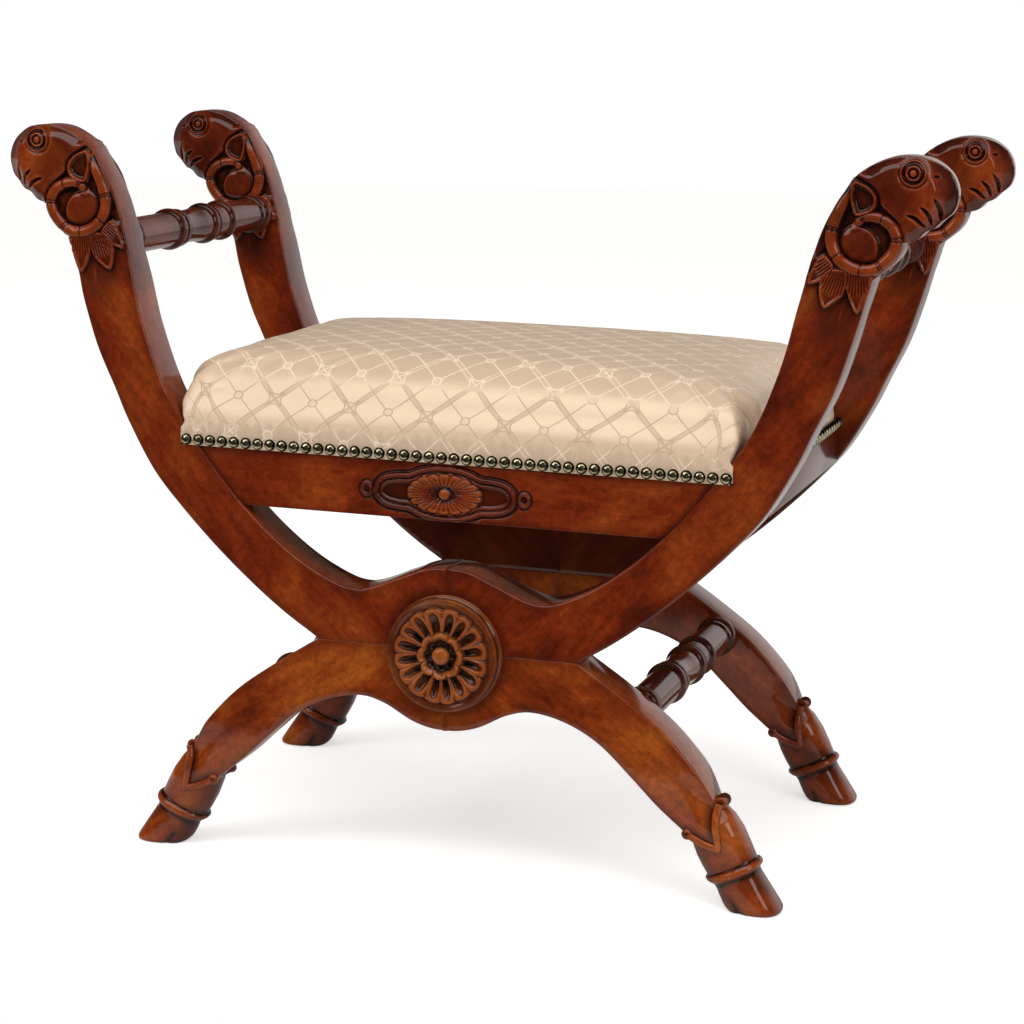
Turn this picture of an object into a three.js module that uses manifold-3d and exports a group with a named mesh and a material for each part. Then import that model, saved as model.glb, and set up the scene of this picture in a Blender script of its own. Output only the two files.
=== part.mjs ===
// An X-frame stool with ram's heads: two curved mahogany frames, each of two arms over two hoofed
// legs, held apart by turned rails, with an upholstered seat box hung between the arms.
// Millimetres, +Z up, +X to the right, the front frame towards -Y, origin on the floor at the middle.
import * as THREE from 'three';
import { mergeVertices } from 'three/addons/utils/BufferGeometryUtils.js';
import Module from 'manifold-3d';

const wasm = await Module();
wasm.setup();

// Overall sizes
const halfWidth = 457;
const overallHeight = 701;
const frameSpacing = 369;
const boardThickness = 46;
const easedEdge = 2.2;
const crotchHeight = 224;
const glueGap = 0.3;
const overrun = 4;

// Carving on the arms and legs
const carvingDepth = 6;
const carvingOverhang = 1.1;
const muzzleRound = 3.6;
const hornRadius = 5.4;
const cheekHalfWidth = 21;
const cheekHalfHeight = 18;
const leafRelief = 3.4;
const leafEase = 1.4;
const eyeRadius = 10;
const slitDepth = 3.2;
const slitHalfWidth = 1.9;
const cuffRelief = 2.6;
const hoofLength = 96;
const hoofHalfDepth = 23;

// Turned rails
const railRadius = 17.5;
const beadRise = 3.6;
const tenonRadius = 9;
const tenonLength = 20;

// Hub rosette
const rosetteRadius = 54;
const rosetteDepth = 15.5;
const rosetteDrop = 2;
const outerPetals = 16;
const innerPetals = 8;
const buttonRadius = 7.5;
const buttonLift = 1.5;

// Seat box
const railTop = 412;
const apronHeight = 64;
const apronThickness = 24;
const apronSetback = 1;
const rebateHeight = 12;
const rebateDepth = 2.3;
const sideRailHeight = 46;
const sideRailThickness = 22;
const sideRailOutset = 36;
const stubTenonLength = 12;
const stubTenonShoulder = 6;
const blockLeg = 52;
const blockHeight = 34;
const screwRadius = 2;
const screwHeadRadius = 4.2;
const screwHeadHeight = 3;
const screwBite = 8;
const seatBoardThickness = 12;

// Carved panel of the aprons
const panelHalfLength = 74;
const panelHalfHeight = 26;
const panelMould = 6;
const panelRelief = 2.4;
const pateraHalfLength = 38;
const pateraHalfHeight = 19;
const pateraPetals = 18;
const pateraButton = 5;
const pateraBulgeShare = 0.08;
const loopRadius = 8.5;
const loopBand = 3;

// Upholstery
const coverThickness = 2;
const coverLap = 9;
const coverClearance = 1;
const cushionSide = 42;
const cushionRollRise = 15;
const cushionRollReach = 26;
const cushionCrown = 24;
const cushionBulge = 2;
const cushionDraw = 3;
const cushionCorner = 22;
const nailBandHeight = 9;
const nailBandDepth = 2.4;

// Dowels
const dowelRadius = 4;
const dowelLength = 30;

const halfBoard = boardThickness / 2;
const halfSpacing = frameSpacing / 2;
const innerHalf = halfSpacing - halfBoard;
const outerHalf = halfSpacing + halfBoard;

// A point of the frame's outline, as shares of the half width and the overall height.
function at([acrossShare, upShare]) {
  return new THREE.Vector2(acrossShare * halfWidth, upShare * overallHeight);
}

function curve(shares, segments) {
  return new THREE.SplineCurve(shares.map(at)).getPoints(segments);
}

// Facets of round forms and steps of curves
const dowelSides = 6;
const railSides = 10;
const hornSides = 5;
const hornSteps = 13;
const domeSides = 8;
const domeRings = 4;
const discSides = 24;
const loopSides = 10;
const hoofSides = 10;
const petalSteps = 3;
const innerEdgeSteps = 18;
const outerEdgeSteps = 15;
const legTopSteps = 7;
const undersideSteps = 11;
const panelSteps = 6;

// A closed geometry as a solid that can be joined and cut.
function solid(geometry) {
  const bare = geometry.clone();
  bare.deleteAttribute('normal');
  bare.deleteAttribute('uv');
  const merged = mergeVertices(bare, overallHeight / 1e6);
  const corners = merged.index.array;
  const kept = [];
  for (let i = 0; i < corners.length; i += 3) {
    const [a, b, c] = [corners[i], corners[i + 1], corners[i + 2]];
    if (a !== b && b !== c && c !== a) kept.push(a, b, c);
  }
  return new wasm.Manifold(new wasm.Mesh({
    numProp: 3,
    vertProperties: new Float32Array(merged.attributes.position.array),
    triVerts: new Uint32Array(kept),
  }));
}

function geometryOf(body) {
  const mesh = body.getMesh();
  const geometry = new THREE.BufferGeometry();
  geometry.setAttribute('position', new THREE.BufferAttribute(new Float32Array(mesh.vertProperties), 3));
  geometry.setIndex(new THREE.BufferAttribute(new Uint32Array(mesh.triVerts), 1));
  return geometry;
}

// The same geometry seen in a mirror across X, across Y or across both.
function mirrored(geometry, signX, signY) {
  const copy = geometry.clone().scale(signX, signY, 1);
  if (signX * signY > 0) return copy;
  const corners = copy.index.array;
  for (let i = 0; i < corners.length; i += 3) {
    [corners[i + 1], corners[i + 2]] = [corners[i + 2], corners[i + 1]];
  }
  return copy;
}

// A slab with an outline in the XZ plane, centred on Y = 0, with eased edges.
function slab(outline, thickness, ease = 0, easeSteps = 1, hole = null) {
  const shape = new THREE.Shape(outline);
  if (hole) shape.holes.push(new THREE.Path(hole));
  const geometry = new THREE.ExtrudeGeometry(shape, {
    depth: thickness - 2 * ease,
    bevelEnabled: ease > 0,
    bevelThickness: ease,
    bevelSize: ease,
    bevelOffset: -ease,
    bevelSegments: easeSteps,
  });
  return geometry.translate(0, 0, ease - thickness / 2).rotateX(Math.PI / 2);
}

function block(sizeX, sizeY, sizeZ, x, y, z) {
  return new THREE.BoxGeometry(sizeX, sizeY, sizeZ).translate(x, y, z);
}

// A round bar along X, Y or Z, centred on a point.
function bar(radius, length, axis, x, y, z, sides = dowelSides) {
  const geometry = new THREE.CylinderGeometry(radius, radius, length, sides);
  if (axis === 'x') geometry.rotateZ(Math.PI / 2);
  if (axis === 'z') geometry.rotateX(Math.PI / 2);
  return geometry.translate(x, y, z);
}

// Points of a polygon grown outwards by a distance.
function grown(points, distance) {
  const turn = Math.sign(THREE.ShapeUtils.area(points));
  return points.map((point, i) => {
    const before = points[(i + points.length - 1) % points.length];
    const after = points[(i + 1) % points.length];
    const along = new THREE.Vector2().subVectors(after, before).normalize();
    return new THREE.Vector2(point.x + turn * along.y * distance, point.y - turn * along.x * distance);
  });
}

// Outline of one half of a frame: up the inner edge, round the ram's head, down the outer edge to
// the crotch, and round the leg to the bottom of the hub.
const innerEdgeShares = [
  [0.000, 0.432], [0.048, 0.430], [0.101, 0.416], [0.197, 0.394], [0.282, 0.411], [0.368, 0.447],
  [0.455, 0.498], [0.540, 0.563], [0.621, 0.638], [0.676, 0.728], [0.707, 0.810], [0.729, 0.870],
  [0.755, 0.919], [0.801, 0.970],
];
const crownShares = [
  [0.801, 0.970], [0.834, 0.986], [0.880, 0.998], [0.915, 1.000], [0.949, 0.994], [0.980, 0.981],
  [1.000, 0.959], [0.993, 0.934], [0.972, 0.920], [0.958, 0.912],
];
const chinShares = [[0.958, 0.912], [0.943, 0.907], [0.928, 0.897], [0.902, 0.892]];
const hornSideShares = [[0.902, 0.892], [0.899, 0.880], [0.884, 0.864], [0.849, 0.845]];
const outerEdgeShares = [
  [0.849, 0.845], [0.829, 0.799], [0.810, 0.752], [0.783, 0.699], [0.746, 0.646], [0.713, 0.599],
  [0.656, 0.535], [0.591, 0.485], [0.510, 0.432], [0.427, 0.385], [0.354, 0.350], [0.282, 0.320],
];
const legTopShares = [
  [0.282, 0.320], [0.368, 0.284], [0.460, 0.240], [0.525, 0.197], [0.556, 0.168], [0.571, 0.148],
];
const ankleShares = [[0.571, 0.148], [0.583, 0.062], [0.503, 0.098]];
const undersideShares = [
  [0.503, 0.098], [0.497, 0.114], [0.457, 0.136], [0.403, 0.170], [0.333, 0.211], [0.263, 0.235],
  [0.190, 0.245], [0.136, 0.238], [0.077, 0.218], [0.035, 0.210], [0.000, 0.208],
];

const innerEdge = curve(innerEdgeShares, innerEdgeSteps);
const crown = crownShares.map(at);
const armOutline = [
  ...innerEdge, ...crown.slice(1), ...chinShares.slice(1).map(at), ...hornSideShares.slice(1).map(at),
  ...curve(outerEdgeShares, outerEdgeSteps).slice(1),
];
const legOutline = [
  ...curve(legTopShares, legTopSteps), ...ankleShares.slice(1).map(at),
  ...curve(undersideShares, undersideSteps).slice(1),
];

// How far out the arm's inner edge is at a height.
function innerEdgeAcross(height) {
  const low = innerEdge.findLastIndex((point) => point.y <= height);
  const [below, above] = [innerEdge[low], innerEdge[low + 1]];
  return below.x + (above.x - below.x) * (height - below.y) / (above.y - below.y);
}

// The arm's outline closed across the hub, for cutting what fits round it.
const crotchShare = [0, 0.320];
function armSpace(clearance) {
  return grown([...armOutline, at(crotchShare)], clearance);
}

// The whole frame as one board with eased edges, which the glue lines cut into four pieces.
function frameBoard() {
  const right = [...armOutline, ...legOutline.slice(1)];
  const left = right.slice(1, -1).reverse().map((point) => new THREE.Vector2(-point.x, point.y));
  return solid(slab([...right, ...left], boardThickness, easedEdge));
}

// The quarter of the frame right of the middle, above or below the glue line at the crotch.
function quarter(upper) {
  const height = overallHeight + overrun;
  const low = upper ? crotchHeight + glueGap / 2 : crotchHeight - glueGap / 2 - height;
  const across = halfWidth + overrun;
  return solid(block(across, boardThickness + overrun, height, (across + glueGap) / 2, 0, low + height / 2));
}

// Ram's head: the face drops to a ground, and the carving stands up from it again on both faces.
const groundShares = [
  [0.700, 0.850], [0.722, 0.822], [0.752, 0.804], [0.790, 0.800], [0.822, 0.796], [0.860, 0.815],
  [1.050, 0.830], [1.050, 1.020], [0.700, 1.020],
];
const muzzleBackShares = [[0.902, 0.902], [0.888, 0.918], [0.860, 0.935], [0.852, 0.948], [0.836, 0.961]];
const hornShares = [
  [0.786, 0.936], [0.766, 0.914], [0.763, 0.892], [0.772, 0.877], [0.792, 0.864], [0.821, 0.857],
  [0.848, 0.858], [0.871, 0.869], [0.888, 0.884], [0.892, 0.899], [0.881, 0.912], [0.861, 0.921],
  [0.835, 0.924], [0.812, 0.908],
];
const earShares = [
  [0.814, 0.926], [0.794, 0.945], [0.803, 0.967], [0.824, 0.965], [0.849, 0.944], [0.847, 0.930],
];
const leavesShares = [
  [0.766, 0.864], [0.746, 0.876], [0.733, 0.861], [0.725, 0.838], [0.744, 0.842], [0.757, 0.806],
  [0.781, 0.816], [0.797, 0.833], [0.821, 0.801], [0.832, 0.823], [0.841, 0.856],
];
const eyeShare = [0.916, 0.977];
const cheekShare = [0.829, 0.890];
const slitShares = [
  [[0.915, 0.926], [0.943, 0.913]],
  [[0.938, 0.937], [0.953, 0.918]],
  [[0.960, 0.948], [0.969, 0.923]],
];

const groundHalf = halfBoard - carvingDepth;

// A relief with its outline in the XZ plane, standing from just inside the ground to a face height.
function relief(outline, faceHeight, ease, easeSteps = 1) {
  const root = overrun + ease;
  const thickness = faceHeight - groundHalf + root;
  const raised = slab(outline, 2 * thickness, ease, easeSteps);
  const keep = block(3 * halfWidth, 2 * thickness, 3 * overallHeight, 0, thickness, overallHeight);
  return solid(raised).intersect(solid(keep)).translate([0, faceHeight - thickness, 0]);
}

// Rows of the ringed eye: shares of its radius, and of the carving's depth above the face.
const eyeRowShares = [[0, -1], [1, -1], [0.8, 0.15], [0.7, -0.2], [0.45, -0.2], [0, 0.2]];
function eyeBoss() {
  const profile = eyeRowShares.map(([r, h]) => new THREE.Vector2(r * eyeRadius, h * carvingDepth));
  const centre = at(eyeShare);
  return solid(new THREE.LatheGeometry(profile, domeSides).translate(centre.x, halfBoard, centre.y));
}

function hornCurl() {
  const route = new THREE.CatmullRomCurve3(hornShares.map((share) => {
    const point = at(share);
    return new THREE.Vector3(point.x, halfBoard - hornRadius, point.y);
  }));
  const ring = new THREE.EllipseCurve(0, 0, hornRadius, hornRadius).getPoints(hornSides).slice(1);
  return solid(new THREE.ExtrudeGeometry(new THREE.Shape(ring), { extrudePath: route, steps: hornSteps }));
}

function cheek() {
  const centre = at(cheekShare);
  const dome = new THREE.SphereGeometry(1, domeSides, domeRings)
    .scale(cheekHalfWidth, carvingDepth + overrun / 2, cheekHalfHeight);
  return solid(dome.translate(centre.x, groundHalf - overrun / 2, centre.y));
}

const slitWidestShare = 0.7;
function slit([fromShare, toShare]) {
  const [from, to] = [at(fromShare), at(toShare)];
  const side = new THREE.Vector2().subVectors(to, from).rotateAround(new THREE.Vector2(), Math.PI / 2);
  side.setLength(slitHalfWidth);
  const middle = new THREE.Vector2().lerpVectors(from, to, slitWidestShare);
  const outline = [from, middle.clone().sub(side), to, middle.clone().add(side)];
  return solid(slab(outline, 2 * slitDepth)).translate([0, halfBoard, 0]);
}

// Everything that is carved on the face towards +Y.
function headCarving() {
  const muzzle = [...crown, ...chinShares.slice(1).map(at), ...muzzleBackShares.map(at)];
  let carving = relief(muzzle, halfBoard, muzzleRound);
  for (const shares of slitShares) carving = carving.subtract(slit(shares));
  carving = carving.add(eyeBoss()).add(hornCurl()).add(cheek());
  carving = carving.add(relief(earShares.map(at), halfBoard - leafEase, leafEase));
  return carving.add(relief(leavesShares.map(at), groundHalf + leafRelief, leafEase));
}

// V-shaped cuff on the ankle, and the hoof below it as a stack of oval sections. Each row gives the
// outer and the inner end of a section as shares of the hoof's length and height, its depth as a
// share, and how round it is.
const cuffBandShares = [
  [0.591, 0.149], [0.586, 0.069], [0.499, 0.100], [0.494, 0.115], [0.566, 0.088], [0.565, 0.158],
];
const hoofShares = [
  [0.23, 1.06, -0.04, 0.88, 0.82, 1.0], [0.48, 0.88, 0.05, 0.63, 1.03, 0.5],
  [0.64, 0.63, 0.16, 0.41, 1.03, 0.6], [0.70, 0.56, 0.19, 0.36, 0.95, 0.8],
  [0.76, 0.53, 0.22, 0.31, 1.07, 1.0], [0.78, 0.48, 0.25, 0.27, 1.07, 1.0],
  [0.75, 0.43, 0.28, 0.24, 0.86, 1.0], [0.84, 0.30, 0.34, 0.14, 0.93, 0.9],
  [0.93, 0.15, 0.40, 0.05, 0.99, 0.8], [1.00, 0.03, 0.43, 0.01, 1.00, 0.7],
  [0.99, 0.00, 0.44, 0.00, 0.98, 0.7],
];

function ankleCuff() {
  return solid(slab(cuffBandShares.map(at), boardThickness + 2 * cuffRelief, cuffRelief));
}

const hoofInnerReach = at(ankleShares.at(-1)).x;
const hoofHeight = at(legTopShares.at(-1)).y;
function hoof() {
  const positions = [];
  const index = [];
  const rounded = (value, roundness) => Math.sign(value) * Math.abs(value) ** roundness;
  for (const [outX, outZ, inX, inZ, depthShare, roundness] of hoofShares) {
    const middleX = hoofInnerReach + hoofLength * (outX + inX) / 2;
    const middleZ = hoofHeight * (outZ + inZ) / 2;
    for (let i = 0; i < hoofSides; i += 1) {
      const angle = Math.PI * (2 * i + 1) / hoofSides;
      const along = rounded(Math.cos(angle), roundness) / 2;
      positions.push(
        middleX + along * hoofLength * (outX - inX),
        rounded(Math.sin(angle), roundness) * hoofHalfDepth * depthShare,
        middleZ + along * hoofHeight * (outZ - inZ),
      );
    }
  }
  const last = (hoofShares.length - 1) * hoofSides;
  for (let i = 0; i < hoofSides; i += 1) {
    const next = (i + 1) % hoofSides;
    for (let row = 0; row < last; row += hoofSides) {
      const [low, high] = [row, row + hoofSides];
      index.push(low + i, high + i, low + next, low + next, high + i, high + next);
    }
    if (i > 0 && i < hoofSides - 1) index.push(0, i, next, last, last + next, last + i);
  }
  const geometry = new THREE.BufferGeometry();
  geometry.setAttribute('position', new THREE.Float32BufferAttribute(positions, 3));
  geometry.setIndex(index);
  return solid(geometry);
}

// Dowels of the frame joints: across the middle joints of the hub, and upright through its glue line.
const hubTop = at(innerEdgeShares[0]).y;
const hubBottom = at(undersideShares.at(-1)).y;
const crotchReach = at(legTopShares[0]).x;
const armDowelShares = [0.45, 0.8];
const legDowelShare = 0.6;
const uprightDowelShares = [0.36, 0.72];
const armDowelHeights = armDowelShares.map((share) => crotchHeight + share * (hubTop - crotchHeight));
const legDowelHeight = crotchHeight - legDowelShare * (crotchHeight - hubBottom);
const uprightDowelReaches = uprightDowelShares.map((share) => share * crotchReach);
const dowelHole = dowelRadius + glueGap;
const dowelHoleLength = dowelLength + 2 * glueGap;

// Places where the rails between the frames are housed.
const handRailShare = [0.775, 0.845];
const stretcherShare = [0.385, 0.246];
const handRailPlace = at(handRailShare);
const stretcherPlace = at(stretcherShare);
const railInner = innerEdgeAcross(railTop);
const sideRailOuter = railInner + sideRailOutset;
const sideRailMiddle = sideRailOuter - sideRailThickness / 2;
const sideRailCentre = railTop - sideRailHeight / 2;
const apronCentre = railTop - apronHeight / 2;
const apronMiddle = -outerHalf + apronSetback + apronThickness / 2;

// A blind socket in a frame's inner face, for a round tenon of a rail at a place.
function railSocket(place, faceHeight) {
  const deep = tenonLength + glueGap + overrun;
  const radius = (tenonRadius + glueGap) / Math.cos(Math.PI / railSides);
  return solid(bar(radius, deep, 'y', place.x, faceHeight + overrun - deep / 2, place.y, railSides));
}

// Where the dowels of an apron's end lie: along X, two above each other in the arm's inner edge.
const apronDowelShares = [0.22, 0.62];
const apronDowelHeights = apronDowelShares.map((share) => railTop - apronHeight + share * apronHeight);

function arm() {
  let body = frameBoard().intersect(quarter(true));
  for (const side of [1, -1]) {
    const ground = solid(slab(groundShares.map(at), 2 * carvingDepth));
    body = body.subtract(ground.translate([0, side * (halfBoard + glueGap), 0]));
  }
  const carving = geometryOf(headCarving());
  const faces = solid(carving).add(solid(mirrored(carving, 1, -1)));
  const silhouette = solid(slab(armSpace(carvingOverhang), 2 * boardThickness));
  body = body.add(faces.intersect(silhouette));
  for (const height of armDowelHeights) {
    body = body.subtract(solid(bar(dowelHole, dowelHoleLength, 'x', 0, 0, height)));
  }
  for (const reach of uprightDowelReaches) {
    body = body.subtract(solid(bar(dowelHole, dowelHoleLength, 'z', reach, 0, crotchHeight)));
  }
  const socketLength = stubTenonLength + glueGap + overrun;
  const stub = block(
    sideRailThickness - 2 * stubTenonShoulder + 2 * glueGap, socketLength,
    sideRailHeight - 2 * stubTenonShoulder + 2 * glueGap,
    sideRailMiddle, halfBoard + overrun - socketLength / 2, sideRailCentre,
  );
  body = body.subtract(solid(stub)).subtract(railSocket(handRailPlace, groundHalf));
  const seatDeep = carvingDepth + overrun;
  const seat = bar(
    railRadius + beadRise + 2 * glueGap, seatDeep, 'y',
    handRailPlace.x, groundHalf + seatDeep / 2, handRailPlace.y, 2 * railSides,
  );
  body = body.subtract(solid(seat));
  for (const height of apronDowelHeights) {
    body = body.subtract(solid(bar(
      dowelHole, dowelHoleLength, 'x', innerEdgeAcross(height), halfSpacing + apronMiddle, height,
    )));
  }
  return body;
}

function leg() {
  let body = frameBoard().intersect(quarter(false)).add(ankleCuff()).add(hoof());
  body = body.subtract(solid(bar(dowelHole, dowelHoleLength, 'x', 0, 0, legDowelHeight)));
  for (const reach of uprightDowelReaches) {
    body = body.subtract(solid(bar(dowelHole, dowelHoleLength, 'z', reach, 0, crotchHeight)));
  }
  body = body.subtract(railSocket(stretcherPlace, halfBoard));
  return body.subtract(solid(block(
    2 * halfWidth, 2 * boardThickness, overrun, 0, 0, -overrun / 2,
  )));
}

// A turned rail, from tenon to tenon: beads, each a place and a half width as shares of the length
// between the frames, and low fillets, each a start and an end, on a plain barrel.
const beadShares = [[0.026, 0.024], [0.335, 0.025], [0.574, 0.020], [0.702, 0.020], [0.976, 0.022]];
const filletShares = [[0.361, 0.385], [0.595, 0.616], [0.928, 0.950]];
const filletRiseShare = 0.4;
const beadFootShare = 0.1;

function turnedRail(length) {
  const rows = [];
  for (const [middle, half] of beadShares) {
    rows.push([middle - half, beadFootShare], [middle, 1], [middle + half, beadFootShare]);
  }
  for (const [from, to] of filletShares) {
    rows.push([from, filletRiseShare], [to, filletRiseShare], [to, 0]);
  }
  const profile = [new THREE.Vector2(0, -tenonLength), new THREE.Vector2(tenonRadius, -tenonLength),
    new THREE.Vector2(tenonRadius, 0)];
  rows.sort((a, b) => a[0] - b[0]);
  for (const [along, rise] of rows) {
    profile.push(new THREE.Vector2(railRadius + rise * beadRise, along * length));
  }
  profile.push(new THREE.Vector2(tenonRadius, length), new THREE.Vector2(tenonRadius, length + tenonLength),
    new THREE.Vector2(0, length + tenonLength));
  return solid(new THREE.LatheGeometry(profile, railSides)).translate([0, -length / 2, 0]);
}

// The outline of a flower with round petals: a circle or an oval with one bulge for each petal.
function petalOutline(halfLength, halfHeight, petals, stepsPerPetal, bulgeShare) {
  const steps = petals * stepsPerPetal;
  return Array.from({ length: steps }, (_, i) => {
    const turn = 2 * Math.PI * i / steps;
    const bulge = 1 - bulgeShare + bulgeShare * Math.abs(Math.sin(turn * petals / 2));
    return new THREE.Vector2(halfLength * bulge * Math.cos(turn), halfHeight * bulge * Math.sin(turn));
  });
}

// Hub rosette, facing -Y: a turned disc on a wider foot, with a dished face, sixteen gouged petals
// and a small eight-petal flower with a button in the middle. Each row of the turned disc is a share
// of the radius and of the depth; the other shares are of the same two sizes.
const discShares = [
  [0, 0], [1.04, 0], [1.04, 0.36], [1.00, 0.42], [1.00, 0.88], [0.96, 1.00], [0.89, 0.97],
  [0.87, 0.74], [0, 0.74],
];
const dishShare = 0.74;
const petalReachShare = 0.86;
const petalTopShare = 0.94;
const petalBulgeShare = 0.13;
const gougeShares = { middle: 0.57, halfLength: 0.26, halfWidth: 0.11 };
const flowerReachShare = 0.42;
const flowerTopShare = 1.06;
const flowerBulgeShare = 0.2;
const cupReachShare = 0.3;
function rosette() {
  const turned = discShares.map(([r, h]) => new THREE.Vector2(r * rosetteRadius, h * rosetteDepth));
  let body = solid(new THREE.LatheGeometry(turned, discSides));
  const dish = dishShare * rosetteDepth;
  const petalTop = petalTopShare * rosetteDepth;
  const petalReach = petalReachShare * rosetteRadius;
  const petals = new THREE.Shape(
    petalOutline(petalReach, petalReach, outerPetals, petalSteps, petalBulgeShare),
  );
  body = body.add(solid(upright(petals, dish / 2, petalTop - dish / 2)));
  for (let i = 0; i < outerPetals; i += 1) {
    const gouge = new THREE.OctahedronGeometry(rosetteRadius)
      .scale(gougeShares.halfLength, (petalTop - dish) / rosetteRadius, gougeShares.halfWidth)
      .translate(gougeShares.middle * rosetteRadius, 0, 0)
      .rotateY(-Math.PI * (2 * i + 1) / outerPetals)
      .translate(0, petalTop, 0);
    body = body.subtract(solid(gouge));
  }
  const flowerReach = flowerReachShare * rosetteRadius;
  const flowerTop = flowerTopShare * rosetteDepth;
  const flower = new THREE.Shape(
    petalOutline(flowerReach, flowerReach, innerPetals, petalSteps, flowerBulgeShare),
  );
  body = body.add(solid(upright(flower, dish / 2, flowerTop - dish / 2)));
  const cupReach = cupReachShare * rosetteRadius;
  const cup = new THREE.SphereGeometry(cupReach, domeSides, domeRings)
    .scale(1, (flowerTop - dish) / cupReach, 1);
  body = body.subtract(solid(cup.translate(0, flowerTop, 0)));
  const button = new THREE.SphereGeometry(buttonRadius, domeSides, domeRings);
  body = body.add(solid(button.translate(0, dish + buttonLift, 0)));
  return geometryOf(body).rotateX(Math.PI);
}

// A shape drawn flat and raised along Y from one height.
function upright(shape, from, height) {
  return new THREE.ExtrudeGeometry(shape, { depth: height, bevelEnabled: false })
    .rotateX(-Math.PI / 2).translate(0, from, 0);
}

// Outline of the apron's carved panel: round ends joined by ogee curves to a bowed middle.
const panelShares = [
  [0.00, 1.00], [0.30, 0.93], [0.52, 0.74], [0.76, 0.66], [0.93, 0.42], [1.00, 0.00],
];
function panelOutline(inset) {
  const quarterPoints = new THREE.SplineCurve(panelShares.map(([along, up]) => new THREE.Vector2(
    along * (panelHalfLength - inset), up * (panelHalfHeight - inset),
  ))).getPoints(panelSteps);
  const upper = [
    ...quarterPoints.toReversed(),
    ...quarterPoints.slice(1).map((point) => new THREE.Vector2(-point.x, point.y)),
  ];
  const lower = upper.slice(1, -1).reverse().map((point) => new THREE.Vector2(point.x, -point.y));
  return [...upper, ...lower];
}

// Apron between the arms of a frame, with the carved panel on its face towards -Y. It is made for
// the front frame, in place.
function apron() {
  const reach = innerEdgeAcross(railTop) + overrun;
  let body = solid(block(2 * reach, apronThickness, apronHeight, 0, apronMiddle, apronCentre));
  for (const side of [1, -1]) {
    const cut = geometryOf(solid(slab(armSpace(glueGap), 2 * boardThickness)));
    body = body.subtract(solid(mirrored(cut, side, 1)).translate([0, -halfSpacing, 0]));
  }
  const face = apronMiddle - apronThickness / 2;
  const rebate = block(2 * reach, 2 * rebateDepth, 2 * rebateHeight, 0, face, railTop);
  body = body.subtract(solid(rebate));
  const panelHeight = railTop - apronHeight + panelHalfHeight + glueGap;
  const raised = (geometry) => solid(geometry).translate([0, face, panelHeight]);
  const below = solid(block(
    4 * halfWidth, boardThickness, railTop - rebateHeight - glueGap, 0, face,
    (railTop - rebateHeight - glueGap) / 2,
  ));
  let panel = raised(slab(panelOutline(0), 2 * panelRelief, 0, 1, panelOutline(panelMould)));
  const patera = petalOutline(
    pateraHalfLength, pateraHalfHeight, pateraPetals, petalSteps, pateraBulgeShare,
  );
  panel = panel.add(raised(slab(patera, 2 * panelRelief)));
  const button = new THREE.SphereGeometry(pateraButton, domeSides, domeRings)
    .scale(1, 2 * panelRelief / pateraButton, 1);
  panel = panel.add(raised(button));
  for (const side of [1, -1]) {
    const circle = (radius) => new THREE.EllipseCurve(0, 0, radius, radius).getPoints(loopSides).slice(1);
    const loop = slab(circle(loopRadius), 2 * panelRelief, 0, 1, circle(loopRadius - loopBand).reverse());
    panel = panel.add(raised(loop.translate(side * (panelHalfLength + loopRadius - loopBand / 2), 0, 0)));
  }
  body = body.add(panel.intersect(below));
  for (const height of apronDowelHeights) {
    for (const side of [1, -1]) {
      body = body.subtract(solid(bar(
        dowelHole, dowelHoleLength, 'x', side * innerEdgeAcross(height), apronMiddle, height,
      )));
    }
  }
  return body;
}

// Side rail of the seat box, between the frames, with a stub tenon at each end. Right-hand side.
function sideRail() {
  const length = 2 * innerHalf - 2 * glueGap;
  const body = solid(block(
    sideRailThickness, length, sideRailHeight, sideRailMiddle, 0, sideRailCentre,
  ));
  const tenons = block(
    sideRailThickness - 2 * stubTenonShoulder, length + 2 * stubTenonLength,
    sideRailHeight - 2 * stubTenonShoulder, sideRailMiddle, 0, sideRailCentre,
  );
  const rebate = block(
    2 * rebateDepth, length + 2 * overrun, 2 * rebateHeight, sideRailOuter, 0, railTop,
  );
  return body.add(solid(tenons)).subtract(solid(rebate));
}

// One ring of the cushion: an oblong with round corners whose sides draw in between the corners.
// Every ring has the same number of points, so that rings can be joined up.
const cornerSteps = 2;
const longSideSteps = 6;
const shortSideSteps = 4;
function cushionRing(reachX, reachY, corner, draw, height) {
  const points = [];
  const quarters = [[1, 1], [-1, 1], [-1, -1], [1, -1]];
  quarters.forEach(([signX, signY], quarterIndex) => {
    const [midX, midY] = [signX * (reachX - corner), signY * (reachY - corner)];
    for (let i = 0; i <= cornerSteps; i += 1) {
      const turn = (quarterIndex + i / cornerSteps) * Math.PI / 2;
      points.push([midX + corner * Math.cos(turn), midY + corner * Math.sin(turn)]);
    }
    const [nextX, nextY] = quarters[(quarterIndex + 1) % 4];
    const steps = nextX === signX ? shortSideSteps : longSideSteps;
    const alongX = nextX === signX ? 0 : 1;
    for (let i = 1; i < steps; i += 1) {
      const share = i / steps;
      const inward = draw * Math.sin(Math.PI * share);
      const fromX = alongX ? midX : signX * (reachX - inward);
      const fromY = alongX ? signY * (reachY - inward) : midY;
      const toX = alongX ? nextX * (reachX - corner) : fromX;
      const toY = alongX ? fromY : nextY * (reachY - corner);
      points.push([fromX + (toX - fromX) * share, fromY + (toY - fromY) * share]);
    }
  });
  return points.map(([x, y]) => [x, y, height]);
}

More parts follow.
